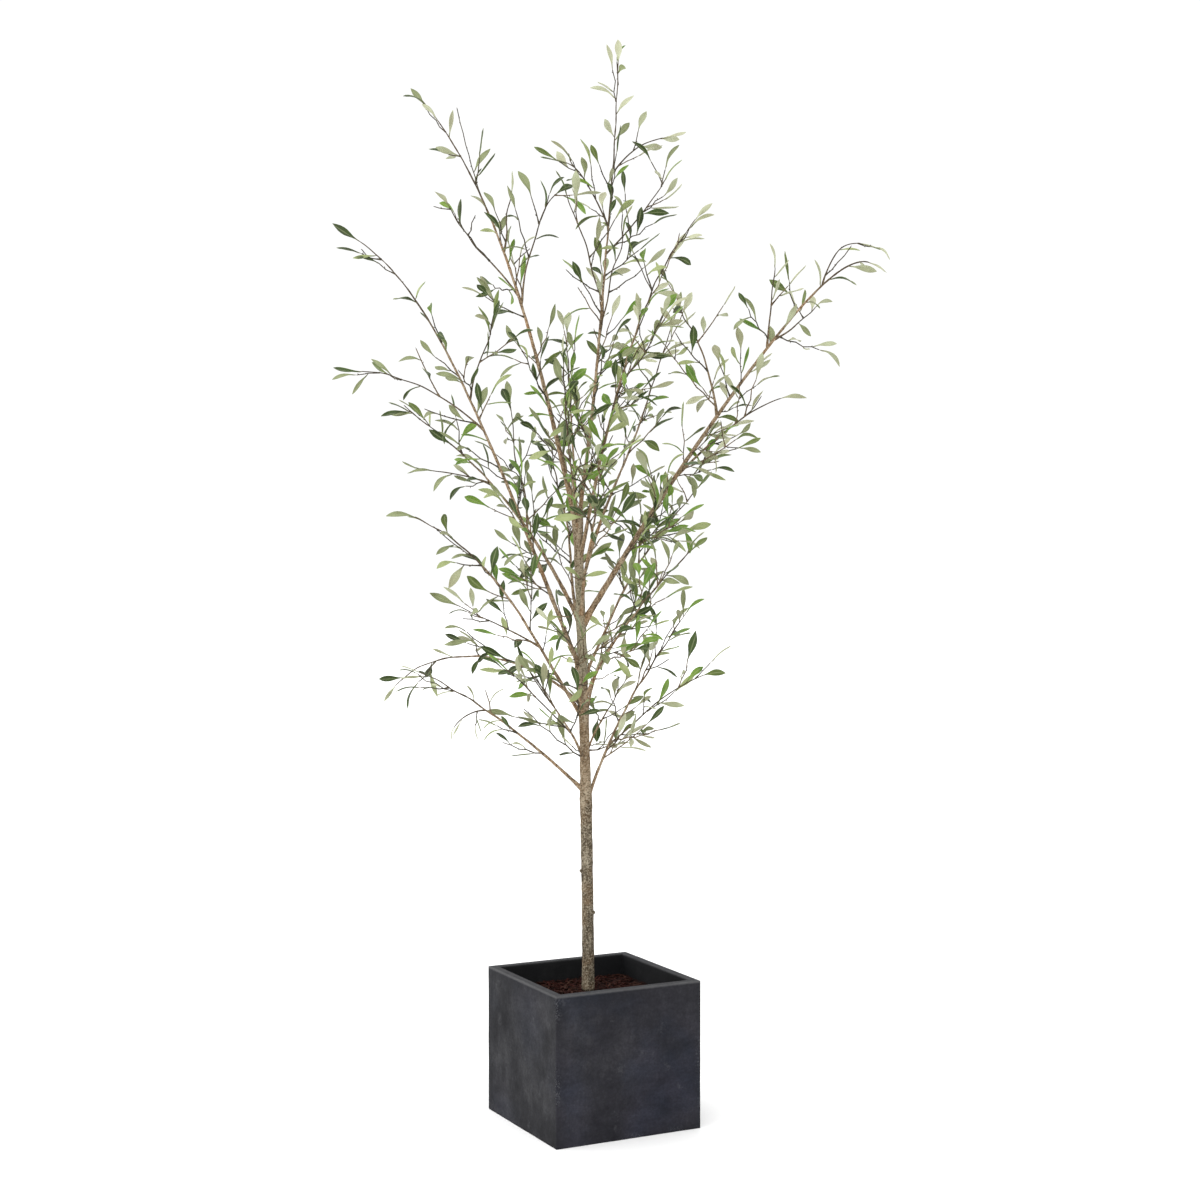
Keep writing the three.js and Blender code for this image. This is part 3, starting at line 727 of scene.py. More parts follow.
class Limb(Stem):
    """One limb of the table: its curve, its thickness, and how far it is bare."""

    def __init__(self, name, order, at, tip, rise, on=None, shift=0, hold=LIMB["hold"], radius=None, bare=0,
                 thin=1, lost=0):
        self.name, self.limb, self.begins = name, self, at
        self.bare, self.thin, self.lost = bare, thin, lost
        self.parent = limbs.get(on)
        self.mass = self.parent.mass if self.parent else name
        self.seed = order * LIMB["seed_step"]
        carrier = self.parent.curve if self.parent else trunk_point
        start = carrier(at) + EAST * shift
        tip = np.array(tip, float)
        span = np.linalg.norm(tip - start)
        heading = math.degrees(math.atan2(tip[1] - start[1], tip[0] - start[0]))
        leave = start + way_of(heading, rise[0]) * span * hold[0]
        reach = tip - way_of(heading, rise[1]) * span * hold[1]
        spine = bezier(start, leave, reach, tip)
        aside = way_of(heading + 90, 0) * LIMB["wave"] * between((-1, 1), seeded(self.seed)())
        waves = LIMB["waves"] * math.pi
        self.curve = lambda s: spine(s) + aside * math.sin(math.pi * s) * math.sin(waves * s)
        points = np.array([self.curve(s) for s in STEPS])
        gone = np.linalg.norm(np.diff(points, axis=0), axis=1)
        self.gone = np.concatenate([[0], np.cumsum(gone)])
        self.length = self.gone[-1]
        self.wood = self.length - END_LEAF["takes"]
        self.radius = radius or self.parent.radius_at(at) * LIMB["side_share"]
        self.add_knees(**LIMB_KNEE, seed=self.seed + LIMB_KNEE_SEED)
        if self.parent:
            self.moved = self.parent.knee(at)

    def share_at(self, along):
        return float(np.interp(along, self.gone, STEPS))

    def radius_at(self, share):
        return between((self.radius, LIMB["tip_radius"]), share ** LIMB["taper"])


limbs = {}
for order, (name, row) in enumerate(LIMBS.items()):
    limbs[name] = Limb(name, order, **row)
mains = [limb for limb in limbs.values() if not limb.parent]
print("metres of limb:", round(sum(limb.length for limb in limbs.values()) * MM, 2))

# %% [markdown]
# Whether a twig or a leaf has room is tested with balls: the trunk, the limbs, the twigs and the leaves are
# rows of balls, and a new row must stay clear of the bare wood and of every other foliage mass. The test
# looks only at the balls near the new row, which keeps it quick. How far a mass reaches is the box of its
# solid.

# %% Room in the crown
SPACE = dict(clear=1.5, ball_every=7, spare=1, most_balls=60000)


class Crown:
    def __init__(self):
        most = SPACE["most_balls"]
        self.count = 0
        self.middles, self.radii = np.zeros((most, 3)), np.zeros(most)
        self.owners, self.is_wood = np.zeros(most, int), np.zeros(most, bool)
        self.masses = {"": 0}

    def add(self, points, radii, mass="", wood=False):
        new = slice(self.count, self.count + len(points))
        self.middles[new], self.radii[new] = points, radii
        self.owners[new], self.is_wood[new] = self.masses.setdefault(mass, len(self.masses)), wood
        self.count += len(points)

    def has_room(self, points, radii, mass, wood_only=False):
        reach = radii.max() + SPACE["clear"] + TRUNK_GIRTH[0][1] + SPACE["spare"]
        middles = self.middles[:self.count]
        near = np.all((middles > points.min(0) - reach) & (middles < points.max(0) + reach), axis=1)
        near &= self.owners[:self.count] != self.masses.get(mass, -1)
        if wood_only:
            near &= self.is_wood[:self.count]
        apart = np.linalg.norm(middles[near][:, None] - points[None], axis=2)
        return bool(np.all(apart > self.radii[:self.count][near][:, None] + radii[None] + SPACE["clear"]))


reach_of = {}
for main in mains:
    reach_of[main.name] = np.array([list(corner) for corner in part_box("foliage_" + main.name)])


def in_reach(points, mass):
    low, high = reach_of[mass]
    where = placed(points)
    return bool(np.all(where > low) and np.all(where < high))


crown = Crown()
for height in np.arange(TRUNK["foot"], TRUNK["top"], SPACE["ball_every"]):
    crown.add([trunk_point(height)], [trunk_radius(height)], wood=True)
for limb in limbs.values():
    balls = math.ceil(limb.length / SPACE["ball_every"])
    for share in np.arange(balls + 1) / balls:
        owner = limb.mass if share > limb.share_at(limb.bare) else ""
        crown.add([limb.curve(share)], [limb.radius_at(share)], owner, wood=True)
print("balls of wood:", crown.count)

# %% [markdown]
# A twig is a lightly rising curve, with leaves along it and one at its end. A leaf is only a line here, with
# a tip that droops, and its blade is modelled later.

# %% Twigs and leaves of the solids
TWIG_SHAPE = dict(lift=0.14, radius=1.8, tries=(1, 0.65, 0.4))
TWIG_KNEE = dict(every=22, out=3.2, first=0)
TWIG_KNEE_SEED = 7
LEAF = dict(length=(54, 72), width=0.29, droop=0.07, sunk=0.6)
LEAF_BALLS = np.array([(0.25, 0.5), (0.42, 0.85), (0.57, 1), (0.75, 0.65), (0.95, 0.2)])
leaves, twigs = [], []


class Twig(Stem):
    def __init__(self, start, ahead, length, limb, radius, moved=0.0):
        self.length, self.limb, self.radius, self.moved = length, limb, radius, moved
        self.number = len(twigs)
        self.end = start + ahead * length + UP * length * TWIG_SHAPE["lift"]
        self.curve = bezier(start, start + ahead * length / 2, self.end)
        self.add_knees(**TWIG_KNEE, seed=self.number + TWIG_KNEE_SEED)


class Leaf:
    def __init__(self, root, ahead, roll, length, stem, share=1.0):
        self.root, self.ahead, self.roll, self.length = root, ahead, roll, length
        self.limb, self.stem, self.share = stem.limb, stem, share
        above = np.cross(turned(level_side(ahead), ahead, roll), ahead)
        self.tip = root + ahead * length - above * length * LEAF["droop"]

    def balls(self):
        points = self.root + (self.tip - self.root) * LEAF_BALLS[:, :1]
        return points, LEAF_BALLS[:, 1] * LEAF["width"] * self.length / 2

    def foot(self):
        return self.root + self.stem.at(self.share) - self.stem.curve(self.share)


# %% [markdown]
# Twigs follow along each limb, each turned on from the last, and leaves follow along each twig. What would
# run into other wood or into another mass is shortened or left out.

# %% Growth along the limbs
TWIG = dict(pitch=96, stride=(0.75, 1.25), first=24, longest=165, of_limb=0.5, shortest=30, shrink=0.8)
TWIG_WAY = dict(spread=(0.6, 1.2), splay=(34, 58), turn=137.5, sway=25, leaf_below=45)
LEAF_WAY = dict(pitch=26, splay=(28, 56), roll=90, turn=150)


def roll_of(draw):
    return LEAF_WAY["roll"] * between((-1, 1), draw())


def twig_balls(twig, shares, radius, last):
    """The balls of a twig at some shares along it, and of the leaf at its end."""
    points, radii = last.balls()
    line = [twig.curve(share) for share in shares]
    return np.concatenate([line, points]), np.concatenate([np.full(len(line), radius), radii])


def grow_leaf(stem, share, splay, turn, draw, length=LEAF["length"], finer=False):
    """A leaf on a stem's side, if it has room. A finer one minds only wood, but stays within reach."""
    ahead = splayed(tangent(stem.curve, share), splay, turn)
    roll = roll_of(draw)
    root = stem.curve(share) - ahead * LEAF["sunk"]
    leaf = Leaf(root, ahead, roll, between(length, draw()), stem, share)
    mass = leaf.limb.mass
    if crown.has_room(*leaf.balls(), mass, wood_only=finer) and (not finer or in_reach([leaf.tip], mass)):
        crown.add(*leaf.balls(), mass)
        leaves.append(leaf)


def grow_side_leaves(twig, pitch, turn, draw, **kind):
    count = math.floor(twig.length / pitch)
    for i in range(1, count + 1):
        turn += LEAF_WAY["turn"]
        splay = between(LEAF_WAY["splay"], draw())
        grow_leaf(twig, i / (count + 1), splay, turn, draw, **kind)


def grow_twig(limb, share, splay, turn, full_length, draw):
    """Tries a twig, longer ones first, until one has room."""
    start = limb.curve(share)
    ahead = splayed(tangent(limb.curve, share), splay, turn)
    roll = roll_of(draw)
    leaf_turn = 360 * draw()
    radius = min(TWIG_SHAPE["radius"], limb.radius_at(share))
    for part in TWIG_SHAPE["tries"]:
        twig = Twig(start, ahead, full_length * part, limb, radius, moved=limb.at(share) - start)
        last = Leaf(twig.end, tangent(twig.curve, 1), roll, between(LEAF["length"], draw()), twig)
        count = math.ceil(twig.length / SPACE["ball_every"])
        balls = twig_balls(twig, np.arange(1, count + 1) / count, TWIG_SHAPE["radius"], last)
        if crown.has_room(*balls, limb.mass):
            crown.add(*balls, limb.mass)
            twigs.append(twig)
            leaves.append(last)
            grow_side_leaves(twig, LEAF_WAY["pitch"], leaf_turn, draw)
            return


def grow_limb(limb):
    longest = min(TWIG["longest"], limb.length * TWIG["of_limb"])
    along, turn, order = limb.bare + TWIG["first"], 0.0, 1
    while along < limb.wood:
        draw = seeded(limb.seed + order)
        share = limb.share_at(along)
        splay = between(TWIG_WAY["splay"], draw())
        reach = between((longest, TWIG["shortest"]), (along / limb.length) ** TWIG["shrink"])
        length = reach * between(TWIG_WAY["spread"], draw())
        turn += TWIG_WAY["turn"] + TWIG_WAY["sway"] * between((-1, 1), draw())
        if length < TWIG_WAY["leaf_below"]:
            grow_leaf(limb, share, splay, turn, draw)
        else:
            grow_twig(limb, share, splay, turn, length, draw)
        along += TWIG["pitch"] * between(TWIG["stride"], draw())
        order += 1
    draw = seeded(limb.seed)
    share = limb.share_at(limb.wood)
    ahead = tangent(limb.curve, share)
    roll = roll_of(draw)
    root = limb.curve(share) - ahead * END_LEAF["sunk"]
    leaves.append(Leaf(root, ahead, roll, between(LEAF["length"], draw()), limb, share))


for main in mains:
    for limb in limbs.values():
        if limb.mass == main.name:
            grow_limb(limb)
print("as the solids:", len(twigs), "twigs and", len(leaves), "leaves")

# %% [markdown]
# The solids hold as many leaves as they can bear. The real crown is finer: short spurs stand between the
# twigs, and the longer twigs branch again, mostly round the upper half of the trunk, where the crown is
# full. At the top and outside it stays open. The spurs follow the same rule with draws of their own, and
# each has to stay within its mass's reach, and clear of the bare wood and of the wood of other masses.

# %% Finer spurs and their leaves
SPUR = dict(pitch=37, start=40, first_turn=60, length=(30, 84), splay=(34, 64), leaf_pitch=27, radius=1.3)
SPUR_LEAF = dict(length=(50, 68), finer=True)
SPUR_TESTS = (0.5, 0.75, 1)
TWIGLET = dict(every=40, length=(30, 62), first=0.6, spare=0.4)
FULL = dict(
    heights=((750, 0.1), (850, 0.6), (1000, 1), (1550, 1), (1700, 0.5), (1800, 0.2), (2450, 0.05)),
    middles=((1000, 40), (1150, 20), (1300, 40), (1500, 170), (1700, 100), (1900, 50)),
    widths=((850, 70), (1000, 110), (1120, 240), (1350, 250), (1500, 205), (1700, 330), (1900, 300)),
    depth=290,
)
FINER_SEED = 50000
SEEDS = dict(spur=1, twiglet=2, buds=3, spray=4, leaf=5, drop=6, bud_length=7, shoot=8, fork=9, brown=10,
             end_fork=11)


def own_draw(kind, number):
    """A draw for each kind of finer piece and each piece of the kind."""
    return seeded(SEEDS[kind] * FINER_SEED + number)


def fullness(point):
    """How thick the crown is at a point: 1 round the trunk's upper half, less at the top and outside."""
    height = point[2]
    middle = trunk_beside(point) + EAST * read_off(FULL["middles"], height)
    width = read_off(FULL["widths"], height)
    aside = math.hypot((point[0] - middle[0]) / width, (point[1] - middle[1]) / FULL["depth"])
    return read_off(FULL["heights"], height) * math.exp(-(aside ** 2))


def grow_spur(stem, share, splay, turn, length, draw, always=False):
    start = stem.at(share)
    if draw() > fullness(start) and not always:
        return
    limb = stem.limb
    spur = Twig(start, splayed(tangent(stem.curve, share), splay, turn), length, limb, SPUR["radius"])
    roll = roll_of(draw)
    last = Leaf(spur.end, tangent(spur.curve, 1), roll, between(SPUR_LEAF["length"], draw()), spur)
    leaf_turn = 360 * draw()
    balls = twig_balls(spur, SPUR_TESTS, SPUR["radius"], last)
    if in_reach([spur.end, last.tip], limb.mass) and crown.has_room(*balls, limb.mass, wood_only=True):
        twigs.append(spur)
        leaves.append(last)
        grow_side_leaves(spur, SPUR["leaf_pitch"], leaf_turn, draw, **SPUR_LEAF)


for limb in limbs.values():
    along, turn, order = limb.bare + SPUR["start"], SPUR["first_turn"], 1
    while along < limb.wood:
        draw = own_draw("spur", limb.seed + order)
        turn += TWIG_WAY["turn"] + TWIG_WAY["sway"] * between((-1, 1), draw())
        splay, length = between(SPUR["splay"], draw()), between(SPUR["length"], draw())
        grow_spur(limb, limb.share_at(along), splay, turn, length, draw)
        along += SPUR["pitch"] * between(TWIG["stride"], draw())
        order += 1
for twig in list(twigs):
    draw = own_draw("twiglet", twig.number)
    count = math.floor(twig.length / TWIGLET["every"])
    turn = 360 * draw()
    for i in range(count):
        turn += TWIG_WAY["turn"]
        splay, length = between(SPUR["splay"], draw()), between(TWIGLET["length"], draw())
        share = (i + TWIGLET["first"]) / (count + TWIGLET["spare"])
        grow_spur(twig, share, splay, turn, length, draw)
print("with the finer spurs:", len(twigs), "twigs and", len(leaves), "leaves")

# %% [markdown]
# The outer part of every limb is a young shoot: it carries leaves of its own, straight on its bark, and
# near its end it forks, with a thinner shoot that runs on beside it. Boughs fork once more at their very
# end. The leader ends in two shoots of one height. Some close spurs stand low on the front of the great
# right bough.

# %% Shoots, forks and their leaves
SHOOT = dict(first=0.5, first_turn=40, pitch=66, splay=(26, 52), ends=15)
FORK = dict(splay=(12, 26), turns=(0, 90, 180, 270), tries=(1, 0.75, 0.5))
FORKS = dict(
    fork=dict(at=(0.62, 0.84), reach=(0.12, 0.2)),
    end_fork=dict(at=(0.88, 0.94), reach=(0.06, 0.1)),
)
TWIN = dict(share=0.885, splay=9, turn=180, length=62)
CLOSE = dict(on="great_right", count=6, at=(0.13, 0.23), splay=(38, 60), turn=(60, 125), length=(40, 75))


def grow_fork(limb, at, reach, draw):
    """Tries one shoot beside the limb's end, longer ones first, until one stays within reach."""
    share, splay, turn = between(at, draw()), between(FORK["splay"], draw()), 360 * draw()
    longest = limb.length * between(reach, draw())
    before = len(twigs)
    for part in FORK["tries"]:
        for step in FORK["turns"]:
            if len(twigs) == before and longest * part > SPUR["length"][0]:
                grow_spur(limb, share, splay, turn + step, longest * part, draw, always=True)


for limb in limbs.values():
    for kind, fork in FORKS.items():
        if kind == "fork" or not limb.parent:
            grow_fork(limb, **fork, draw=own_draw(kind, limb.seed))
grow_spur(limbs["leader"], **TWIN, draw=own_draw("spur", 0), always=True)

for limb in limbs.values():
    along, turn = limb.length * SHOOT["first"], SHOOT["first_turn"]
    draw = own_draw("shoot", limb.seed)
    while along < limb.wood - SHOOT["ends"]:
        turn += LEAF_WAY["turn"]
        splay = between(SHOOT["splay"], draw())
        grow_leaf(limb, limb.share_at(along), splay, turn, draw, **SPUR_LEAF)
        along += SHOOT["pitch"] * between(TWIG["stride"], draw())
draw = own_draw("spur", 1)
for share in np.linspace(*CLOSE["at"], CLOSE["count"]):
    splay, turn, length = (between(CLOSE[key], draw()) for key in ("splay", "turn", "length"))
    grow_spur(limbs[CLOSE["on"]], share, splay, turn, length, draw, always=True)
print("with the shoots:", len(leaves), "leaves")

# %% [markdown]
# Where the crown is open, some leaves have dropped, and only the foot of their stalk is left on the twig.
# They have dropped also right in front of the trunk, which shows between the boughs.

# %% Dropped leaves
DROPPED = dict(inside=(0.42, 0.06), high=((1750, 0), (2150, 0.4)), at_end=0.35)
BARE_TRUNK = dict(drop=0.65, beside=26, heights=(1040, 1290))


def chance_to_drop(leaf):
    on_limb = leaf.stem is leaf.limb
    if on_limb and leaf.share == leaf.limb.share_at(leaf.limb.wood):
        return 0
    from_trunk = (leaf.root + leaf.tip) / 2 - trunk_beside(leaf.root)
    low, high = BARE_TRUNK["heights"]
    if abs(from_trunk[0]) < BARE_TRUNK["beside"] and from_trunk[1] < 0 and low < leaf.root[2] < high:
        return BARE_TRUNK["drop"]
    drop = leaf.limb.lost + read_off(DROPPED["high"], leaf.root[2])
    if not on_limb:
        drop += between(DROPPED["inside"], fullness(leaf.root))
    return drop * (DROPPED["at_end"] if leaf.share == 1 else 1)


leaf_feet, hanging = [], []
for number, leaf in enumerate(leaves):
    if own_draw("drop", number)() < chance_to_drop(leaf):
        leaf_feet.append((leaf.foot(), leaf.ahead))
    else:
        hanging.append(leaf)
print("leaves that hang:", len(hanging), "and dropped:", len(leaf_feet))

# %% [markdown]
# ## Trunk
# A slim trunk with a slight lean, a flared foot and a swelling at each bough. A cylinder that is bent
# would keep its even girth, so the trunk is drawn up as on a lathe: a filled circle is extruded ring by
# ring, and each new ring is scaled to the girth at its height. Two short stubs stay where boughs were
# cut. Subdivision rounds it, and two reliefs, one drawn out along the trunk, make the bark.

# %% Trunk shape
BARK = dict(ring_every=15, sides=20, dome=((4.95, 0.8), (8.1, 0.45)), thick=1.05, furrow=3.2)
SWELL = dict(share=0.3, above=8, half=15)
STUB = dict(radius=4, flare=1.5, length=21, rise=38, sides=12, edge=1.2)
STUBS = [dict(height=552, heading=195), dict(height=458, heading=-20)]


def girth(height):
    aside = [((height - limb.begins - SWELL["above"]) / SWELL["half"]) ** 2 for limb in mains]
    swell = max(limb.radius * math.exp(-far) for limb, far in zip(mains, aside))
    return trunk_radius(height) * BARK["thick"] + SWELL["share"] * swell


def model_stub(height, heading):
    start_fresh()
    way = way_of(heading, STUB["rise"])
    middle = trunk_point(height) + way * STUB["length"] / 2
    ahead = Vector(placed(way)).normalized()
    thin = STUB["radius"] * MM
    bpy.ops.mesh.primitive_cone_add(vertices=STUB["sides"], radius1=thin * STUB["flare"], radius2=thin,
                                    depth=STUB["length"] * MM, location=placed(middle))
    bpy.context.object.rotation_mode = "QUATERNION"
    bpy.context.object.rotation_quaternion = Vector(UP).rotation_difference(ahead)
    stub = settled("cut_stub")
    pick(stub, "FACE", lambda face: face.normal.dot(ahead) > FACING)
    bpy.ops.mesh.bevel(offset=STUB["edge"] * MM, segments=2, affect="EDGES")
    bpy.ops.object.mode_set(mode="OBJECT")
    return stub


def model_trunk():
    start_fresh()
    foot, top = TRUNK["foot"], TRUNK["top"]
    heights = np.linspace(foot, top, round((top - foot) / BARK["ring_every"]))
    rings = [(trunk_point(height), girth(height)) for height in heights]
    rings += [(trunk_point(top) + UP * rise, girth(top) * share) for rise, share in BARK["dome"]]
    start, thick = rings[0]
    bpy.ops.mesh.primitive_circle_add(vertices=BARK["sides"], radius=thick * MM, fill_type="NGON",
                                      location=placed(start))
    trunk = settled("trunk_bark")
    bpy.ops.object.mode_set(mode="EDIT")
    for (low, thick), (high, thin) in zip(rings, rings[1:]):
        step = placed(high) - placed(low)
        bpy.ops.mesh.extrude_region_move(TRANSFORM_OT_translate={"value": step})
        bpy.ops.transform.resize(value=(thin / thick, thin / thick, 1), center_override=placed(high))
    face_outward()
    take(trunk, *[model_stub(**row) for row in STUBS])
    bpy.ops.object.join()
    return trunk


def add_bark(piece, levels, coarse, fine):
    """Rounds a limb and gives it bark: lumps, and furrows that are drawn out upwards."""
    start_fresh()
    bpy.ops.object.empty_add(location=(0, 0, 0))
    drawn_out = bpy.context.object
    drawn_out.scale.z = BARK["furrow"]
    bpy.context.view_layer.update()
    take(piece)
    rounding = piece.modifiers.new("rounding", "SUBSURF")
    rounding.levels = rounding.render_levels = levels
    roughen(piece, *coarse)
    roughen(piece, *fine, space=drawn_out, hard=True)
    apply_modifiers(piece)
    bpy.data.objects.remove(drawn_out)


trunk = model_trunk()
add_bark(trunk, 2, coarse=(22, 2.2), fine=(4.5, 1.3))
print("trunk top", round(max(v.co.z for v in trunk.data.vertices), 4))

# %% [markdown]
# The bark of the trunk is grey brown, dark at the foot, paler and more olive in its upper half, and
# speckled all over. Among the lowest boughs and at the top it is rubbed to a warmer brown. A picture of
# bark would show a seam, and patterns have none: one is drawn out along the trunk for the streaks, and a
# finer one makes the specks. The zones of the trunk are heights in metres, each with the share of its
# colour there. Limbs and twigs have the same bark in their own colours, and the limbs have darker young
# ends.

# %% Bark finishes
BARKS = dict(
    grey_bark=dict(dark=(58, 50, 39), middle=(111, 100, 83), pale=(170, 160, 140), warm=(141, 113, 83),
                   olive=(164, 156, 129), rubbed=(182, 156, 126)),
    warm_bark=dict(dark=(78, 65, 49), middle=(144, 121, 95), pale=(181, 164, 139), warm=(165, 121, 80),
                   young=(64, 57, 46)),
    twig_bark=dict(dark=(64, 53, 40), middle=(122, 104, 81), pale=(158, 140, 114), warm=(138, 107, 76),
                   young=(64, 58, 47)),
    dark_twig=dict(dark=(44, 41, 33), middle=(72, 67, 55), pale=(104, 98, 83), warm=(92, 80, 62)),
    brown_twig=dict(dark=(58, 48, 36), middle=(106, 90, 69), pale=(142, 126, 101), warm=(124, 99, 72)),
)
ZONES = dict(
    olive=((0.94, 0), (1.06, 0.6), (1.2, 0.6), (1.28, 0)),
    rubbed=((0.68, 0), (0.76, 0.45), (0.94, 0.45), (1.02, 0), (1.2, 0), (1.28, 0.4)),
    dark=((0.32, 0.5), (0.68, 0)),
)
ZONE_SCALE = 0.5


def trunk_zones(bark, base, tones, streaks):
    tones = {**tones, "rubbed": bark.ramp(streaks, (0.3, tones["warm"]), (0.7, tones["rubbed"]))}
    height = bark.reckon("MULTIPLY", bark.axes(bark.place)["Z"], ZONE_SCALE)
    for tone, stops in ZONES.items():
        zone = bark.fade(height, *((metres * ZONE_SCALE, share) for metres, share in stops))
        base = bark.blend(zone, base, tones[tone])
    return base


def bark_finish(name):
    tones = {tone: paint(*colour) for tone, colour in BARKS[name].items()}
    dark, pale = tones["dark"], tones["pale"]
    bark = Finish(name, roughness=0.9, specular=0.12)
    streaks = bark.clouds(80, detail=6, roughness=0.6, place=bark.stretched(1, 1, 0.25))
    base = bark.ramp(streaks, (0.32, dark), (0.5, tones["middle"]), (0.72, pale))
    if "rubbed" in tones:
        base = trunk_zones(bark, base, tones, streaks)
    base = bark.cover(base, bark.mask(bark.clouds(16), 0.5, 0.68), 0.5, tones["warm"])
    specks = bark.clouds(260, detail=3, roughness=0.6)
    base = bark.cover(base, bark.mask(specks, 0.53, 0.6), 0.65, pale)
    base = bark.cover(base, bark.fade(specks, (0.4, 1), (0.47, 0)), 0.7, dark)
    if "young" in tones:
        age = bark.node("ShaderNodeAttribute")
        age.attribute_name = "age"
        base = bark.blend(bark.fade(age.outputs["Fac"], (0.5, 0.82), (0.75, 0)), base, tones["young"])
    bark.colour(base)
    bark.bump(bark.reckon("ADD", streaks, specks), 0.6, 0.8)
    return bark.material


trunk.data.materials.append(bark_finish("grey_bark"))
hand_over(trunk, "trunk_bark", "trunk", smooth=50)

# %% [markdown]
# ## Boughs and side limbs
# Each limb of the tree is one tapering stem that begins inside the wood that carries it. Extruding each
# one ring by ring would work too, but a curve with a radius at each of its points is the easier way: it is
# bevelled into a round stem, made a mesh, and joined with the others. A collar thickens the stem where it
# leaves its carrier. Boughs and the thinner side limbs stay two pieces, because their bark differs. Each
# corner keeps the stem's age there, worked out from its thickness and from how near the tip it is: the thin
# young ends are darker.

# %% Limb shapes
STEM = dict(point_every=14, least_points=6, roundness=(1.2, 0.95), thinnest=(2.2, 1.3), merge=0.01)
AGE = dict(old=2.9, power=3)
COLLAR = dict(share=0.5, length=18, inside=0.6)


def model_stem(limb):
    start_fresh()
    steps = max(STEM["least_points"], math.ceil(limb.wood / STEM["point_every"]))
    alongs = np.linspace(0, limb.wood, steps + 1)
    shares = [limb.share_at(along) for along in alongs]
    line = placed([limb.at(share) for share in shares])
    radii = np.array([limb.radius_at(share) for share in shares])
    ages = np.minimum(radii / AGE["old"], 1) * (1 - np.array(shares) ** AGE["power"])
    bpy.ops.curve.primitive_nurbs_path_add(location=(0, 0, 0))
    curve = bpy.context.object.data
    curve.splines.clear()
    spline = curve.splines.new("POLY")
    spline.points.add(steps)
    carrier = limb.parent.radius if limb.parent else girth(limb.curve(0)[2])
    for point, where, along, radius in zip(spline.points, line, alongs, radii):
        from_collar = (along - carrier * COLLAR["inside"]) / COLLAR["length"]
        swell = 1 + COLLAR["share"] * math.exp(-(from_collar ** 2))
        thinnest = between(STEM["thinnest"], along / limb.wood)
        roundness = between(STEM["roundness"], along / limb.wood)
        point.co = (*where, 1)
        point.radius = max(radius * swell * roundness, thinnest) * MM
    curve.dimensions = "3D"
    curve.bevel_depth = 1
    curve.bevel_resolution = 2
    curve.use_fill_caps = True
    bpy.ops.object.convert(target="MESH")
    stem = bpy.context.object
    corners = np.array([list(vertex.co) for vertex in stem.data.vertices])
    nearest = np.linalg.norm(corners[:, None] - line[None], axis=2).argmin(1)
    stem.data.attributes.new("age", "FLOAT", "POINT").data.foreach_set("value", ages[nearest])
    return stem


def model_limbs(name, chosen, finish, coarse, fine):
    take(*[model_stem(limb) for limb in chosen])
    bpy.ops.object.join()
    piece = settled(name)
    bpy.ops.object.mode_set(mode="EDIT")
    bpy.ops.mesh.select_all(action="SELECT")
    bpy.ops.mesh.remove_doubles(threshold=STEM["merge"] * MM)
    face_outward()
    piece.data.materials.clear()
    add_bark(piece, 1, coarse, fine)
    piece.data.materials.append(bark_finish(finish))
    return piece


boughs = model_limbs("boughs", mains, "warm_bark", coarse=(15, 1.7), fine=(4, 0.8))
hand_over(boughs, "bough_bark", *["bough_" + limb.name for limb in mains if limb.bare], smooth=60)
carried = [limb for limb in limbs.values() if limb.parent]
side_limbs = model_limbs("side_limbs", carried, "twig_bark", coarse=(12, 0.5), fine=(3, 0.4))
hand_over(side_limbs, "foliage", smooth=60)

# %% [markdown]
# ## Twigs
# Some hundreds of thin twigs, each a tapering tube of five sides with a few tiny buds. There are too many
# to model one by one, so they are worked out as arrays and joined into one mesh. Outside they are dark, and
# many of those inside the crown are brown.

# %% Twig shapes
TWIG_LOOK = dict(sides=5, base=1.8, end=1.15, collar=1.7, brown=(0.12, 0.75))
BUD = dict(every=34, at=(0.15, 0.95), splay=(40, 70), length=(3, 6), radii=(1.2, 0.5), sides=4)


def tube(points, radii, sides):
    """Corners and faces of a closed tube along some points."""
    across = None
    rows = []
    turns = np.arange(sides) * 2 * math.pi / sides
    for i, point in enumerate(points):
        ahead = unit(points[min(i + 1, len(points) - 1)] - points[max(i - 1, 0)])
        across = level_side(ahead) if across is None else unit(across - ahead * np.dot(across, ahead))
        ring = np.outer(np.cos(turns), across) + np.outer(np.sin(turns), np.cross(ahead, across))
        rows.append(point + ring * radii[i])
    corners = np.concatenate(rows)
    faces = [[*range(sides)][::-1]]
    for first in range(0, len(corners) - sides, sides):
        for k in range(sides):
            after = (k + 1) % sides
            faces.append([first + k, first + after, first + sides + after, first + sides + k])
    faces.append([*range(len(corners) - sides, len(corners))])
    return corners, faces


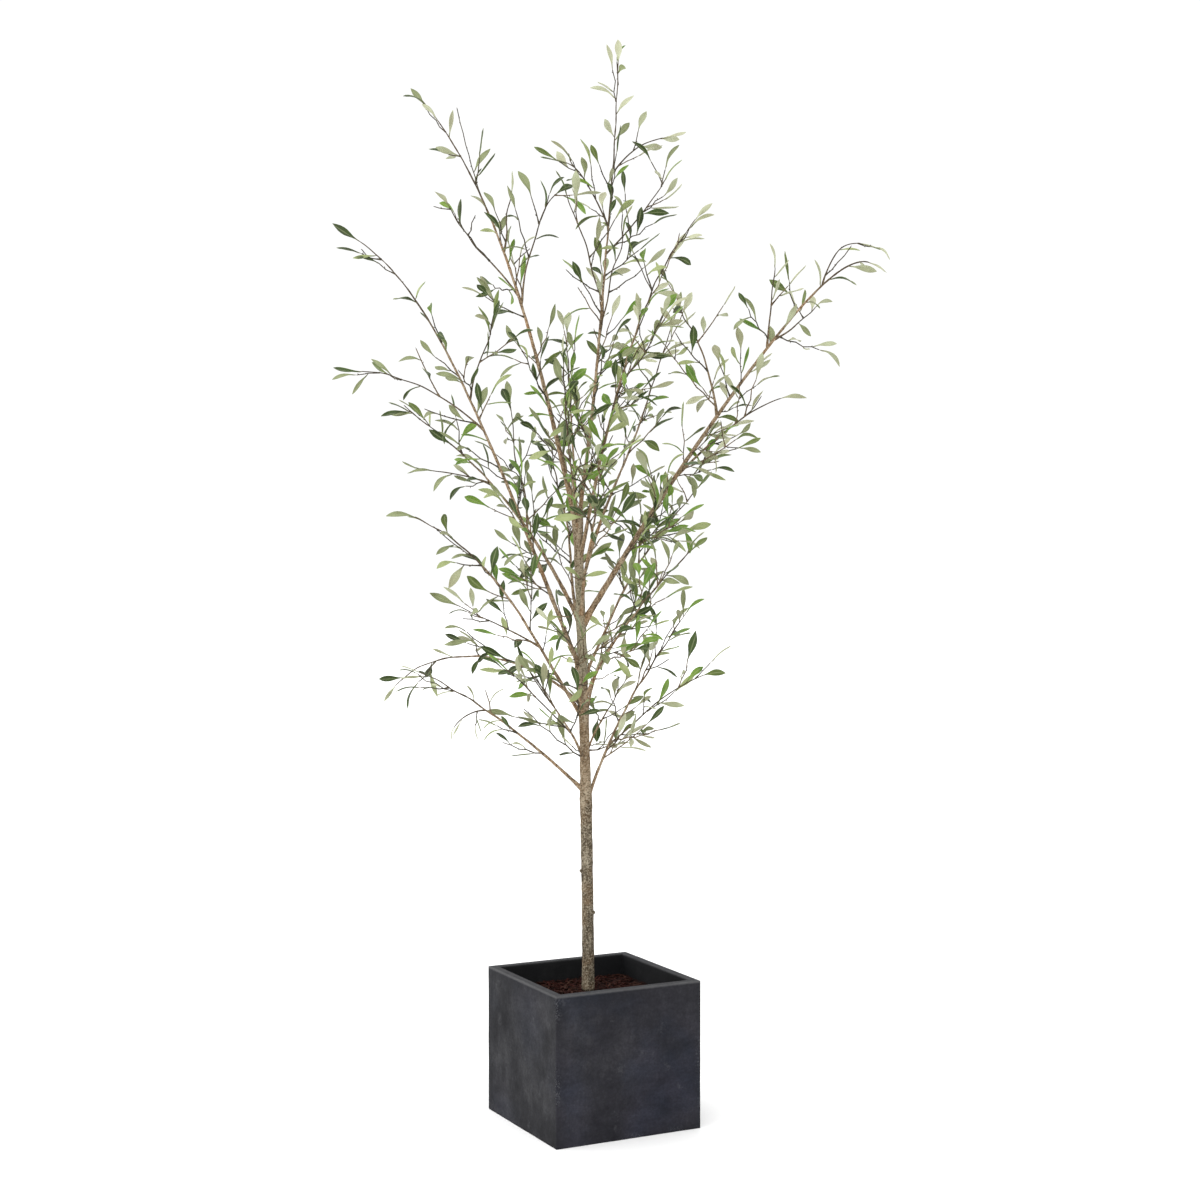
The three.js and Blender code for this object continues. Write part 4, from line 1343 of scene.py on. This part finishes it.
def deal_twigs():
    corners, faces, kinds, count = [], [], [], 0

    def put(points, radii, sides, kind):
        nonlocal count
        new_corners, new_faces = tube(np.array(points), radii, sides)
        corners.append(new_corners)
        kinds.extend([kind] * len(new_faces))
        faces.extend([[number + count for number in face] for face in new_faces])
        count += len(new_corners)

    for twig in twigs:
        draw = own_draw("buds", twig.number)
        thick = min(twig.radius, TWIG_LOOK["base"])
        shares = np.linspace(0, 1, 2 * len(twig.knees) - 1)
        radii = between((thick, TWIG_LOOK["end"]), shares)
        radii[0] *= TWIG_LOOK["collar"]
        brown = own_draw("brown", twig.number)() < between(TWIG_LOOK["brown"], fullness(twig.at(0)))
        put([twig.at(share) for share in shares], radii, TWIG_LOOK["sides"], int(brown))
        for _ in range(round(twig.length / BUD["every"])):
            share = between(BUD["at"], draw())
            way = splayed(tangent(twig.curve, share), between(BUD["splay"], draw()), 360 * draw())
            leaf_feet.append((twig.at(share), way))
    for number, (point, way) in enumerate(leaf_feet):
        length = between(BUD["length"], own_draw("bud_length", number)())
        put([point, point + way * length], BUD["radii"], BUD["sides"], 0)
    finishes = [bark_finish(name) for name in ("dark_twig", "brown_twig")]
    return joined("twigs", placed(np.concatenate(corners)), faces, finishes, kinds)


hand_over(deal_twigs(), "foliage", smooth=60)

# %% [markdown]
# ## Leaves
# A leaf of this tree is a narrow blade on a thin stalk, folded a little along its midrib. Some are pointed
# and widest at their middle, others blunt and widest beyond it. Both are modelled one by one, at a length of
# 1: a small grid, each row of which is scaled to the leaf's width, and a thickness. They are the patterns
# for all leaves, which lie somewhere between the two and are placed as arrays.

# %% Two leaves
BLADE = dict(width=0.25, rows=8, fold=0.035, folded=(0.1, 0.95), thickness=0.011, stalk=0.14)
POINTED = (0.08, 0.1, 0.28, 0.6, 0.9, 1.0, 0.9, 0.56, 0.05)
BLUNT = (0.08, 0.1, 0.2, 0.45, 0.75, 0.95, 1.0, 0.79, 0.12)
SLACK = 0.001
LOOKS_DOWN = -0.3


def model_leaf(widths):
    start_fresh()
    rows = BLADE["rows"]
    bpy.ops.mesh.primitive_grid_add(x_subdivisions=2, y_subdivisions=rows, size=1, location=(0, 0.5, 0))
    leaf = settled("leaf_pattern")
    for row, width in enumerate(widths):
        along = row / rows
        pick(leaf, "VERT", lambda corner: abs(corner.co.y - along) < SLACK)
        bpy.ops.transform.resize(value=(width * BLADE["width"], 1, 1), center_override=(0, along, 0))
    low, high = BLADE["folded"]
    pick(leaf, "VERT", lambda corner: abs(corner.co.x) < SLACK and low < corner.co.y < high)
    bpy.ops.transform.translate(value=(0, 0, -BLADE["fold"]))
    bpy.ops.object.mode_set(mode="OBJECT")
    thickness = leaf.modifiers.new("thickness", "SOLIDIFY")
    thickness.thickness = BLADE["thickness"]
    thickness.offset = 0
    apply_modifiers(leaf)
    corners = np.array([list(vertex.co) for vertex in leaf.data.vertices])
    faces = np.array([list(face.vertices) for face in leaf.data.polygons])
    under = np.array([face.normal.z < LOOKS_DOWN for face in leaf.data.polygons])
    beside = np.where(np.abs(corners[:, 0]) < SLACK, 0, np.sign(corners[:, 0]))
    bpy.data.objects.remove(leaf)
    return corners, faces, under, np.stack([0.5 + 0.5 * beside, corners[:, 1]], 1)


blunt_corners, leaf_faces, leaf_under, leaf_places = model_leaf(BLUNT)
pointed_corners = model_leaf(POINTED)[0]
print("one leaf:", len(leaf_faces), "faces,", int(leaf_under.sum()), "of them below")

# %% [markdown]
# Leaves are deep green, olive, fresh green or pale above, and sage below, with a pale midrib and a brownish
# stalk. The deep ones are darker below, as painted shade of undersides in the crown's shadow. The pale ones
# are paler on both sides, partly as a paler leaf and partly as painted light of leaves that the light shines
# through. Each shade has one finish above and one below. A picture on flat cards would be quicker, but it
# falls apart close up. So the blade is a mesh, and its midrib and stalk are found on the leaf's own chart,
# which gives how far a point is from the midrib and from the foot.

# %% Leaf finishes
SHADES = dict(
    # The deep leaves' darker sage below is painted shade.
    deep=dict(above=((45, 57, 20), (66, 89, 33)), below=((120, 126, 86), (147, 156, 113))),
    olive=dict(above=((75, 91, 38), (106, 123, 57)), below=((146, 145, 112), (170, 173, 138))),
    fresh=dict(above=((84, 120, 38), (127, 160, 62)), below=((142, 154, 98), (172, 182, 127))),
    # The pale shade is partly painted light, of leaves that the light shines through.
    pale=dict(above=((154, 156, 122), (178, 184, 151)), below=((177, 177, 146), (200, 204, 173))),
)


def leaf_finish(name, dark, light):
    leaf = Finish(name, roughness=0.55, specular=0.3)
    fine = leaf.clouds(170)
    base = leaf.ramp(leaf.clouds(24, detail=3), (0.34, paint(*dark)), (0.66, paint(*light)))
    mottle = leaf.ramp(fine, (0.3, paint(166)), (0.7, paint(206)))
    base = leaf.blend(0.14, base, mottle, mode="OVERLAY")
    chart = leaf.node("ShaderNodeUVMap")
    chart.uv_map = "leaf_place"
    across, along, _ = leaf.axes(chart.outputs["UV"])
    aside = leaf.reckon("ABSOLUTE", leaf.reckon("SUBTRACT", across, 0.5))
    midrib = leaf.fade(aside, (0.03, 0.3), (0.1, 0))
    base = leaf.blend(midrib, base, paint(176, 184, 138))
    stalk = leaf.fade(along, (0.1, 0.8), (0.22, 0))
    leaf.colour(leaf.blend(stalk, base, paint(98, 94, 60)))
    leaf.bump(leaf.reckon("SUBTRACT", fine, midrib), 0.15, 0.4)
    return leaf.material


leaf_finishes = {
    shade: [leaf_finish(f"{shade}_leaf_{side}", *colours) for side, colours in both.items()]
    for shade, both in SHADES.items()
}
print("shades of leaf:", *leaf_finishes)

# %% [markdown]
# The colour of a leaf goes by its spray: a spray has one shade, and only now and then a leaf of another.
# The greens are commoner where the crown is full, and the pale ones at the top, to the right and low
# outside, where their paleness is partly painted light of leaves lit through. Each part of the rule is a
# short table, of places to the side or of heights, and of what counts there.

# %% Shades of the sprays
HEART = dict(radius=430, heights=((700, 0.5), (1000, 1), (1600, 1), (1900, 0.6), (2300, 0.2)))
SHADE_RULE = dict(
    pale_beside=((-300, -0.22), (420, 0.34)),
    pale_rise=((1350, 0.2), (1700, 1)),
    pale_top=((2000, 0), (2200, 0.22)),
    pale_low=((950, 0.6), (1100, 0)),
    fresh_beside=((-300, 0.7), (420, 1.3)),
    fresh_rise=((1000, 0.4), (1300, 1)),
    deep_beside=((-300, 0.84), (420, 0.54)),
)
PALE, FRESH, SHOWS_TOP = (0.34, 0.0), (0.12, 0.62), (0.62, 0.96)


def heart(point):
    """How deep a point lies in the crown: 1 by the trunk, less outside and at the top."""
    aside = np.linalg.norm((point - trunk_beside(point))[:2])
    return read_off(HEART["heights"], point[2]) * math.exp(-((aside / HEART["radius"]) ** 2))


def shade_of(point, draw):
    def rule(part, at):
        return read_off(SHADE_RULE[part], at)

    aside, _, height = point
    deep_in = heart(point)
    # Pale leaves, partly painted light, are dealt more at the top, to the right and low outside.
    pale = between(PALE, deep_in) + rule("pale_beside", aside) * rule("pale_rise", height)
    pale += rule("pale_top", height) + rule("pale_low", height) * (1 - deep_in) ** 0.5
    if draw() < pale:
        return "pale"
    fresh = between(FRESH, deep_in ** 2) * rule("fresh_beside", aside)
    if draw() < fresh * rule("fresh_rise", height):
        return "fresh"
    return "deep" if draw() < rule("deep_beside", aside) else "olive"


# %% [markdown]
# Each leaf bends down along its length, some a little up, and twists about its own line, by seeded draws.
# The bend is an arc: a point at some length along the leaf goes forward by a sine and down by a cosine.
# Each shade is a piece of its own, because so many leaves in one piece would be too many faces.

# %% All leaves
LEAF_LOOK = dict(size=1.02, width=(0.78, 1.16), roll=0.72, bend=(-20, 80), twist=(-60, 60),
                 sway=(-0.24, 0.24), stray=0.25)
LEAST_BEND = 1e-4


def leaf_shape(leaf, draw):
    """The corners of one leaf: the pattern at its size, bent and twisted."""
    across = turned(level_side(leaf.ahead), leaf.ahead, leaf.roll * LEAF_LOOK["roll"])
    above = np.cross(across, leaf.ahead)
    length = leaf.length * LEAF_LOOK["size"] * leaf.limb.thin ** 0.5
    wide = between(LEAF_LOOK["width"], draw()) * leaf.limb.thin
    bend = math.radians(between(LEAF_LOOK["bend"], draw())) + LEAST_BEND
    x, y, z = between((pointed_corners, blunt_corners), draw() ** 2).T
    arc = np.maximum(y - BLADE["stalk"], 0)
    forward = y - arc + np.sin(bend * arc) / bend
    down = (1 - np.cos(bend * arc)) / bend
    lifted = np.outer(np.cos(bend * arc), above) + np.outer(np.sin(bend * arc), leaf.ahead)
    twist = np.radians(between(LEAF_LOOK["twist"], draw())) * arc
    beside, over = spun(across, lifted, -twist[:, None])
    line = np.outer(forward, leaf.ahead) - np.outer(down, above)
    line += np.outer(between(LEAF_LOOK["sway"], draw()) * arc ** 2, across)
    return leaf.foot() + length * (line + beside * (x * wide)[:, None] + over * z[:, None])


shapes = {shade: [] for shade in SHADES}
sides_shown = {shade: [] for shade in SHADES}
for number, leaf in enumerate(hanging):
    spray = len(twigs) + number if leaf.stem is leaf.limb else leaf.stem.number
    spray_shade = shade_of(leaf.root, own_draw("spray", spray))
    draw = own_draw("leaf", number)
    shade = shade_of(leaf.root, draw) if draw() < LEAF_LOOK["stray"] else spray_shade
    shapes[shade].append(leaf_shape(leaf, draw))
    turned_over = draw() < between(SHOWS_TOP, heart(leaf.root))
    sides_shown[shade].append(leaf_under != turned_over)

masses = ["foliage_" + main.name for main in mains]
for shade, rows in shapes.items():
    corners = placed(np.concatenate(rows))
    faces = repeated(leaf_faces, len(blunt_corners), len(rows))
    places = np.tile(leaf_places, (len(rows), 1))
    kinds = np.concatenate(sides_shown[shade])
    piece = joined(f"leaves_{shade}", corners, faces, leaf_finishes[shade], kinds, places)
    hand_over(piece, "foliage", *(masses if shade == "deep" else ()), smooth=45)
    print(shade, len(rows), "leaves")

# %% [markdown]
# ## The studio
# A plain pale floor that runs to the horizon, an even white surround, and one large soft light from the
# left, so that the planter's left side is the lighter one. A sun with a wide angle is used and not a lamp
# with a size, because it lights the whole floor alike. The studio's own lengths are metres.

# %% Floor and light
FLOOR_SIZE = 60
SUN = dict(towards=(-0.72, -0.08, 0.69), strength=3.53, spread=150, height=4)
SURROUND = dict(seen=1.05, light=0.75)


def model_floor():
    start_fresh()
    bpy.ops.mesh.primitive_plane_add(size=FLOOR_SIZE, location=(0, 0, 0))
    floor = bpy.context.object
    floor.name = "studio_floor"
    pale = Finish("pale_floor", roughness=0.9, specular=0.1)
    pale.colour(pale.fade(pale.clouds(0.6), (0.3, 0.94), (0.7, 0.97)))
    floor.data.materials.append(pale.material)


def add_soft_sun(towards, strength, spread, height):
    """A wide, parallel light: it lights the whole floor alike, and its shadows are soft."""
    start_fresh()
    bpy.ops.object.light_add(type="SUN", location=(0, 0, height))
    sun = bpy.context.object
    sun.name = "wide_studio_light"
    sun.data.energy = strength
    sun.data.angle = math.radians(spread)
    x, y, z = towards
    sun.rotation_euler = (math.atan2(math.hypot(x, y), z), 0, math.atan2(y, x) + math.pi / 2)


def add_surround(seen, light):
    """A white surround. The camera sees it whiter than it lights, so the object keeps its shading."""
    world = bpy.data.worlds.new("white_surround")
    bpy.context.scene.world = world
    world.use_nodes = True
    nodes, links = world.node_tree.nodes, world.node_tree.links
    strength = nodes.new("ShaderNodeMapRange")
    strength.inputs["To Min"].default_value = light
    strength.inputs["To Max"].default_value = seen
    links.new(nodes.new("ShaderNodeLightPath").outputs["Is Camera Ray"], strength.inputs["Value"])
    links.new(strength.outputs["Result"], nodes["Background"].inputs["Strength"])
    nodes["Background"].inputs["Color"].default_value = grey(1)


model_floor()
add_soft_sun(**SUN)
add_surround(**SURROUND)
bpy.context.scene.view_settings.view_transform = "Standard"
print("light from", SUN["towards"])

# %% [markdown]
# The camera stands where the photograph was taken from: its distance, height and lens come from the
# planter's corners in the picture. It looks along the turn of the tree, a little downwards. Its place is in
# metres, and its lens and sensor are in millimetres.

# %% Camera
CAMERA = dict(aside=0.0165, away=4.61, height=1.323, pitch=1.878, lens=61.74, sensor=36)
bpy.ops.object.camera_add()
camera = bpy.context.object
camera.name = "photograph_camera"
camera.location = (*spun(CAMERA["aside"], -CAMERA["away"], TREE_TURN), CAMERA["height"])
camera.rotation_euler = (math.radians(90 - CAMERA["pitch"]), 0, TREE_TURN)
camera.data.sensor_width = CAMERA["sensor"]
camera.data.lens = CAMERA["lens"]
bpy.context.scene.camera = camera
print("camera at", [round(value, 3) for value in camera.location])
